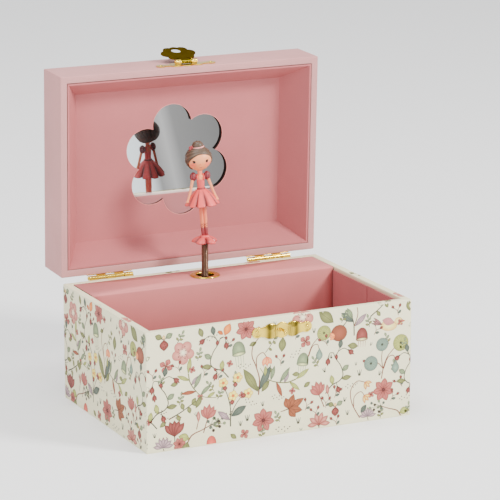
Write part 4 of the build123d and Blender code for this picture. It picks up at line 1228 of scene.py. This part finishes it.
def make_catch():
    """The stamped catch: two domes with flutes between them, and a screw at each end."""
    ear_r, dome_x, flute_x = 3.5, 8.4, 4.4
    half = CATCH_HIGH.x - ear_r

    def relief(x, z):
        rise = 0.0
        for side in (-1, 1):
            dome = bell_curve(math.hypot(x - side * dome_x, z * 0.8), 3.7)
            flutes = 0.22 * math.cos(4.6 * (abs(x) - 4.0)) * bell_curve(abs(x) - flute_x, 1.9)
            rise += 1.25 * dome + (flutes if x * side > 0 else 0)
            rise -= 0.26 * bell_curve(math.hypot(x - side * half, z) - 2.0, 0.6)
        return rise

    outline = scroll_outline(half, ear_r, centre_r=5.2, height=10.8)

    def painted_shade_at(x, z):
        """Painted shade on the brass: the outer flank of the dome, the flutes, the screw and the rim."""
        x = abs(x)
        flank_shade = 0.95 * bell_curve(x - 9.6, 2.1) * bell_curve(z, 5.5)
        flutes = (0.5 + 0.45 * math.cos(5.2 * (x - 5.2))) * bell_curve(x - 5.2, 1.9)
        screw = 0.7 * bell_curve(math.hypot(x - half, z), 0.8)
        rim = 0.75 * bell_curve(outline(x) - abs(z), 0.5)
        return min(1.0, flank_shade + flutes + screw + rim)

    points, faces = stamped_plate(outline, half + ear_r - 0.05, relief)
    # the fold value is the painted shade
    folds = [painted_shade_at(p.x, p.z) for p in points]
    middle_z = (CATCH_LOW.z + CATCH_HIGH.z) / 2
    place = Matrix(((1, 0, 0, 0), (0, 0, -1, -HALF_D), (0, 1, 0, middle_z), (0, 0, 0, 1)))
    item = add_piece("catch_stamping", points, faces, "stamped", "box", place, 50, folds)
    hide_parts("catch_plate")


# ---------------------------------------------------------------- dancer
HEAD_CENTRE = Vector((0, 0, 58.4))
HEAD_HALF = Vector((8.5, 7.9, 8.2))
BUN_CENTRE = Vector((0, 0.8, 67.2))
HEM_Z, WAIST_Z = 27.3, 38.0


def figure_matrix(lean=True):
    """From the figure's own space, foot at zero and facing -Y, to its place."""
    place = Matrix.Translation(FIGURE_AXIS) @ Matrix.Rotation(FIGURE_TURN, 4, "Z")
    if lean:
        place = place @ about(Vector((0, 0, LEAN_PIVOT)), FIGURE_LEAN, "Y")
    return place


def add_figure_part(name, part, finish, folds=None, lean=True):
    """A piece of the dancer; points without a fold value get a slight one."""
    points, faces = part
    shown = list(folds or []) + [0.1] * (len(points) - len(folds or []))
    return add_piece(name, points, faces, finish, "dancer", figure_matrix(lean), 0, shown)


def sphere_grid(rows, columns, surface):
    """A closed surface from surface(direction) at points over a sphere."""
    rings = []
    for r in range(rows):
        tilt = math.pi * (r + 0.5) / rows
        ring = []
        for c in range(columns):
            ring.append(surface(polar(math.sin(tilt), TAU * c / columns, math.cos(tilt))))
        rings.append(ring)
    return loft(rings)


def head_surface(direction, grow=0.0):
    """A doll's head, broad at the cheeks and drawn in to a small chin."""
    below = max(0.0, -direction.z)
    narrow = 1 - 0.24 * below**2.6
    x = (HEAD_HALF.x + grow) * direction.x * narrow
    y = (HEAD_HALF.y + grow) * direction.y * (1 - 0.2 * below**2)
    z = (HEAD_HALF.z + grow) * direction.z
    return HEAD_CENTRE + Vector((x, y, z))


def make_head():
    """Head with blushed cheeks, and the neck."""
    part = sphere_grid(48, 72, head_surface)
    folds = []
    for p in part[0]:
        away = p - HEAD_CENTRE
        cheek = max(bell_curve(math.hypot(away.x - side * 5.0, away.z + 2.8), 1.9) for side in (-1, 1))
        folds.append(0.75 * cheek if away.y < 0 else 0.0)
    item = add_figure_part("figure_face", part, "skin", folds)
    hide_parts("figure_head")
    neck = loft(lathe([(1.9, 45.6), (1.6, 46.8), (1.5, 48.6), (1.7, 51.4)], 24))
    add_figure_part("figure_neck", neck, "skin", [0.45] * len(neck[0]))
    make_features()


def on_face(x, z, out=0.0):
    """A point on the front of the head at x and height z from its centre."""
    below = max(0.0, -z / HEAD_HALF.z)
    across = x / (HEAD_HALF.x * (1 - 0.24 * below**2.6))
    deep = math.sqrt(max(0.0, 1 - across**2 - (z / HEAD_HALF.z) ** 2))
    return HEAD_CENTRE + Vector((x, -HEAD_HALF.y * deep * (1 - 0.2 * below**2) - out, z))


def make_features():
    """Painted eyes with a lash line, a small nose and a smile, in low relief."""
    up = Vector((0, 0, 1))
    eyes = []
    for side in (-1, 1):
        spot = on_face(side * 4.3, -0.6)
        normal = Vector((side * 0.6, -1, 0)).normalized()
        across = up.cross(normal).normalized() * side

        def eye_surface(direction):
            return spot + across * 1.05 * direction.x + up * 0.88 * direction.z + normal * 0.3 * direction.y

        eyes.append(sphere_grid(12, 20, eye_surface))
        lash = [
            spot - across * 0.7 + up * 0.62 + normal * 0.12, spot + across * 0.3 + up * 0.86 + normal * 0.1,
            spot + across * 1.5 + up * 0.55
        ]
        eyes.append(loft(tube(smooth_path(lash, 5), [0.16] * 10 + [0.07], 6)))
    add_figure_part("figure_eyes", join_parts(eyes), "eye")
    mouth = smooth_path([on_face(-1.0, -4.6), on_face(0, -4.95), on_face(1.0, -4.6)], 6)
    widths = [0.06 + 0.14 * math.sin(math.pi * k / (len(mouth) - 1)) for k in range(len(mouth))]
    add_figure_part("figure_mouth", loft(tube(mouth, widths, 8)), "ribbon")
    nose_spot = on_face(0, -2.3, -0.25)
    nose = sphere_grid(10, 14, lambda d: nose_spot + Vector((0.55 * d.x, 0.5 * d.y, 0.5 * d.z)))
    add_figure_part("figure_nose", nose, "skin", [0.35] * len(nose[0]))


def make_hair():
    """Painted hair swept across the brow and up to a bun, with combed strands."""
    parting = Vector((0.45, -0.55, 0.7)).normalized()
    folds = []

    def hair_surface(direction):
        front = max(0.0, -direction.y)
        side = direction.x
        brow = 0.50 - 0.30 * max(0.0, -side - 0.1) + 0.05 * side
        hairline = brow - 1.15 * (1 - front) ** 1.5
        cover = min(1.0, max(0.0, (direction.z - hairline + 0.05) / 0.12))
        cover = cover * cover * (3 - 2 * cover)
        spread = math.atan2(
            direction.dot(Vector((0.7, 0.5, 0.1))), direction.dot(Vector((-0.2, 0.6, 0.75)))
        )
        strand = 15 * spread + 4.0 * direction.z + 2.2 * side
        groove = 0.6 * math.sin(strand) + 0.4 * math.sin(2.1 * strand + 1.3)
        sweep = 0.55 * bell_curve(side + 0.75, 0.5) * (0.4 + 0.6 * front)
        crease = bell_curve(direction.cross(parting).length, 0.10) if direction.dot(parting) > 0 else 0.0
        lift = -0.8 + (1.35 + sweep) * cover + 0.15 * groove * cover - 0.35 * crease * cover
        folds.append(min(1.0, max(0.0, 0.38 - 0.5 * groove + 0.6 * (1 - cover))))
        return head_surface(direction, lift) + Vector((0, 0.3 * cover, 0))

    part = sphere_grid(90, 160, hair_surface)
    cap = add_figure_part("figure_hair_cap", part, "hair", folds)
    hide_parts("figure_hair")
    folds = []

    def bun_surface(direction):
        swirl = math.atan2(direction.z, direction.x) * 0.6 + 2.2 * direction.z
        groove = math.sin(9 * swirl) * 0.6 + math.sin(16 * swirl) * 0.4
        folds.append(0.4 - 0.45 * groove)
        size = 1 + 0.03 * groove
        return BUN_CENTRE + Vector(
            (3.9 * direction.x * size, 3.7 * direction.y * size, 3.3 * direction.z * size)
        )

    add_figure_part("figure_bun", sphere_grid(36, 90, bun_surface), "hair", folds)
    band = [Vector((4.0 * turn.x - 0.1, 0.6 + 3.8 * turn.y, 66.3 + 0.3 * turn.x)) for turn in circle(48)]
    add_figure_part("figure_hairband", closed_loft(tube(band, 0.5, 10)), "hairband")
    pin = Vector((-4.9, -1.6, 66.4))
    petals = []
    for k in range(6):
        angle = TAU * k / 5
        reach = 0.0 if k == 5 else 0.95
        forward = -0.3 if k == 5 else 0.35 * math.cos(angle)
        spot = pin + Vector((reach * math.cos(angle), forward, reach * math.sin(angle)))
        size = 0.6 if k == 5 else 0.85

        def petal_surface(direction):
            return spot + size * Vector((direction.x, 0.7 * direction.y, direction.z))

        petals.append(sphere_grid(10, 14, petal_surface))
    add_figure_part("figure_hair_flower", join_parts(petals), "ribbon")


def pleat_wave(angle, pleats):
    """Broad flat pleats between narrow grooves, from 1 on a pleat to 0 in a groove."""
    turn = pleats * angle / TAU + 0.12 * math.sin(3 * angle + 0.5)
    across = abs(2 * (turn % 1.0) - 1)
    return 1 - across**4


def stacked(ovals):
    """Points and faces through upright ovals, each a height and two radii."""
    return loft([ellipse((0, 0, z), rx, ry, 32) for z, rx, ry in ovals])


def make_dress():
    """Bodice, waistband and a full box-pleated skirt with a fluted hem."""
    pleats, columns, rows = 9, 270, 26
    rings, folds = [], []
    for inward, order in ((0.0, range(rows + 1)), (0.42, range(rows, -1, -1))):
        for r in order:
            t = r / rows
            spread = 2.75 + 9.1 * (t**0.92 + 0.05 * math.sin(math.pi * t))
            ring = []
            for c in range(columns):
                angle = TAU * c / columns
                pleat = pleat_wave(angle, pleats)
                radius = spread * (1 - 0.2 * (t**0.6) * (1 - pleat)) - inward
                z = WAIST_Z + (HEM_Z - WAIST_Z) * t + 0.5 * t**3 * (1 - pleat)
                ring.append(polar(radius, angle, z))
                # painted shade: darker in the grooves between pleats, along the hem and all over the inside
                groove = (1 - pleat) ** 0.7 * min(1.0, 2.5 * t)
                hem_shade = 0.75 if t > 0.965 else 0.0
                folds.append(min(1.0, max(groove, hem_shade, 0.75 if inward else 0.0)))
            rings.append(ring)
    skirt = add_figure_part("figure_skirt", closed_loft(rings), "dress", folds)
    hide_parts("figure_dress")
    bodice = (
        (37.4, 2.4, 2.1), (38.4, 2.35, 2.0), (40, 2.4, 2.05), (42, 2.5, 2.2), (43.6, 2.6, 2.3),
        (44.3, 2.62, 2.3), (44.45, 2.5, 2.2),
    )
    add_figure_part("figure_bodice", stacked(bodice), "dress")
    chest = ((43.8, 2.4, 2.1), (45.2, 2.45, 2.05), (46.4, 2.3, 1.9), (47.3, 1.8, 1.7), (47.6, 1.2, 1.2))
    add_figure_part("figure_chest", stacked(chest), "skin")
    straps = []
    for side in (-1, 1):
        route = [
            (side * 2.1, -2.0, 44.2), (side * 2.3, -1.8, 46.0), (side * 2.2, -0.8, 47.3),
            (side * 2.1, 0.6, 47.5), (side * 2.1, 2.0, 45.2)
        ]
        straps.append(loft(tube(smooth_path(route, 5), 0.5, 10)))
    add_figure_part("figure_straps", join_parts(straps), "dress")
    waist = closed_loft(lathe([(2.5, 37.3), (2.95, 37.5), (3.0, 38.0), (2.8, 38.5), (2.3, 38.6)], 36))
    add_figure_part("figure_waistband", waist, "ribbon")


def make_arms():
    """Puffed sleeves, and arms held a little away from the skirt."""
    sleeves, folds, arms = [], [], []
    for side in (-1, 1):
        centre = Vector((side * 4.7, 0, 46.5))

        def puff(direction):
            gather = math.cos(8 * math.atan2(direction.y, direction.x))
            pinch = 1 - 0.3 * max(0.0, abs(direction.z) - 0.5)
            # painted shade in the gathers of the puffed sleeves
            folds.append(min(1.0, max(0.0, 0.3 - 0.45 * gather)))
            size = (1 + 0.05 * gather) * pinch
            return centre + Vector((2.2 * direction.x * size, 2.1 * direction.y * size, 3.1 * direction.z))

        part = sphere_grid(20, 45, puff)
        folds += [0.3] * (len(part[0]) - 20 * 45)
        sleeves.append(part)
        path = [
            (5.4, -0.3, 44.4), (6.5, -0.6, 40.4), (7.8, -1.0, 36.0), (9.2, -1.5, 32.2), (10.2, -1.8, 30.2),
            (10.6, -1.9, 29.4)
        ]
        route = smooth_path([(side * x, y, z) for x, y, z in path], 6)
        last = len(route) - 1
        radii = [
            1.02 - 0.36 * (k / last) + 0.22 * bell_curve(k / last - 0.9, 0.08) for k in range(last)
        ] + [0.3]
        arms.append(loft(tube(route, radii, 16)))
        thumb = smooth_path(
            [(side * 9.7, -2.2, 31.0), (side * 9.6, -2.8, 30.2), (side * 9.9, -2.9, 29.6)], 4
        )
        arms.append(loft(tube(thumb, [0.34] * (len(thumb) - 1) + [0.16], 10)))
    puffs = add_figure_part("figure_puffs", join_parts(sleeves), "sleeve", folds)
    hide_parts("figure_sleeves")
    pair = add_figure_part("figure_arm_pair", join_parts(arms), "skin")
    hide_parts("figure_arms")


def make_legs():
    """Legs side by side, and ballet shoes with crossed laces."""
    legs, shoes, ribbons = [], [], []
    for side in (-1, 1):
        x = side * 1.1
        leg = [(8.0, 1.0), (11.5, 1.08), (14, 1.18), (17.5, 1.34), (21, 1.32), (24, 1.4), (29, 1.5)]
        legs.append(loft([ellipse((x * (1 + 0.004 * (z - 8)), -0.5, z), r, r * 1.05, 20) for z, r in leg]))
        shoe = [
            (5.0, 0.8, 0.8, -0.6), (5.7, 1.05, 1.2, -0.6), (7.0, 1.22, 1.5, -0.6), (8.8, 1.26, 1.5, -0.5),
            (10.4, 1.16, 1.3, -0.5), (11.3, 1.08, 1.15, -0.5)
        ]
        shoes.append(loft([ellipse((x, y, z), rx, ry, 24) for z, rx, ry, y in shoe]))
        for phase in (0, math.pi):
            for start in (11.4, 12.7):
                angles = [phase + 3.3 * k / 24 for k in range(25)]
                lace = [
                    Vector((x + 1.16 * math.cos(a), -0.5 + 1.2 * math.sin(a), start + 1.6 * k / 24))
                    for k, a in enumerate(angles)
                ]
                ribbons.append(loft(tube(lace, 0.22, 8)))
    points, faces = join_parts(legs)
    # painted shade: the legs darken and warm towards the skirt above them
    folds = [0.25 + 0.6 * min(1.0, max(0.0, (p.z - 12) / 17)) for p in points]
    pair = add_figure_part("figure_leg_pair", (points, faces), "skin", folds)
    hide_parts("figure_legs")
    add_figure_part("figure_shoes", join_parts(shoes + ribbons), "ribbon")


def make_flower_base():
    """The glossy five-petal flower that the dancer stands on."""
    rows, columns = 22, 150
    top, bottom, top_folds = [], [], []
    for r in range(1, rows + 1):
        t = r / rows
        upper, lower, crease_shades = [], [], []
        for c in range(columns):
            angle = TAU * c / columns
            petal = abs(math.cos(2.5 * (angle - math.radians(18))))
            reach = 9.1 * (0.56 + 0.44 * petal**0.6)
            dome = math.sqrt(max(0.0, 1 - t**3.0)) * (0.30 + 0.70 * petal**0.5)
            inner = max(0.0, 1 - t / 0.3)
            middle_z = 2.9 - 1.9 * t * t
            upper.append(polar(reach * t, angle, middle_z + 2.3 * (dome * (1 - inner) + inner)))
            lower.append(polar(reach * t, angle, middle_z - 1.1 * math.sqrt(max(0.0, 1 - t**2.4))))
            # painted shade in the creases between petals, more towards the rim
            crease_shades.append(min(1.0, 1.1 * (1 - petal) ** 1.5 * min(1.0, 1.6 * t) + 0.15 * t))
        top.append(upper)
        bottom.append(lower)
        top_folds.append(crease_shades)
    # painted shade on the underside
    folds = [value for crease_shades in reversed(top_folds) for value in crease_shades] + [0.5] * (rows * columns)
    item = add_figure_part(
        "figure_flower", loft(list(reversed(top)) + bottom), "petal", folds, False
    )
    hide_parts("figure_base")
    hub = loft(lathe([(2.9, 3.8), (3.2, 5.0), (2.9, 5.7), (1.2, 5.95)], 36))
    add_figure_part("figure_stand", hub, "petal", None, False)


def make_spring():
    """The close-wound spring that carries the dancer, as one fixed piece on no body; on the real box it
    lets the dancer fold down.
    """
    wire, pitch = 0.43, 0.88
    coil_r = SPRING_HIGH.x - wire - 0.02
    low, high = SPRING_LOW.z + wire, SPRING_HIGH.z - wire - 0.1
    per_turn = 28
    rings = []
    for k in range(int((high - low) / pitch * per_turn) + 1):
        angle = TAU * k / per_turn
        middle_z = low + pitch * k / per_turn
        section = [(coil_r + wire * turn.x, middle_z + wire * turn.y) for turn in circle(8)]
        rings.append([polar(radius, angle, z, (0, FIGURE_AXIS.y)) for radius, z in section])
    points, faces = loft(rings)
    item = add_piece("dancer_spring", points, faces, "spring_steel", None, None, 0)
    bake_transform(item)
    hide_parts("coil_spring")


# ---------------------------------------------------------------- finishes of the CAD nodes
CAD_FINISHES = {
    "board": (
        "base_board", "front_board", "back_board", "left_board", "right_board", "lid_top_board",
        "lid_front_board", "lid_back_board", "lid_left_board", "lid_right_board",
    ),
    "print_paper": ("base_paper",),
    "pink_lining": (
        "floor_lining", "front_lining", "left_lining", "right_lining", "lid_tray", "mirror_panel",
    ),
    "shaded_brass": ("hasp_flap",),
    "brass": (
        "catch_hook", "catch_nails", "hasp_plate", "hasp_pin", "hasp_nails", "hinge_body_leaves",
        "hinge_lid_leaves", "hinge_pins", "body_hinge_screws", "lid_hinge_screws", "drum", "worm_wheel",
        "drum_gear", "governor_pinion",
    ),
    "steel": (
        "movement_screws", "comb", "comb_screws", "spring_housing", "drum_spindle", "winding_arbor",
        "winding_key", "worm_shaft", "fly_vane", "great_wheel",
    ),
    "spring_steel": ("mainspring",),
    "zinc": ("movement_bedplate",),
    "mirror": ("mirror",),
    "foam": ("mirror_backing",),
}


def finish_cad_nodes():
    """Give the CAD nodes that are still seen their proper materials."""
    for finish, names in CAD_FINISHES.items():
        for name in names:
            mesh = frame["nodes"][name].data
            if not mesh.materials:
                mesh.materials.append(None)
            for k in range(len(mesh.materials)):
                mesh.materials[k] = MATERIALS[finish]


add_camera()
add_stage()
MATERIALS = make_materials()
finish_cad_nodes()
make_body_wrap()
make_lid_wrap()
make_platform()
make_mirror_edge()
make_prints()
make_catch()
make_eyelet()
make_spring()
make_flower_base()
make_legs()
make_dress()
make_arms()
make_head()
make_hair()
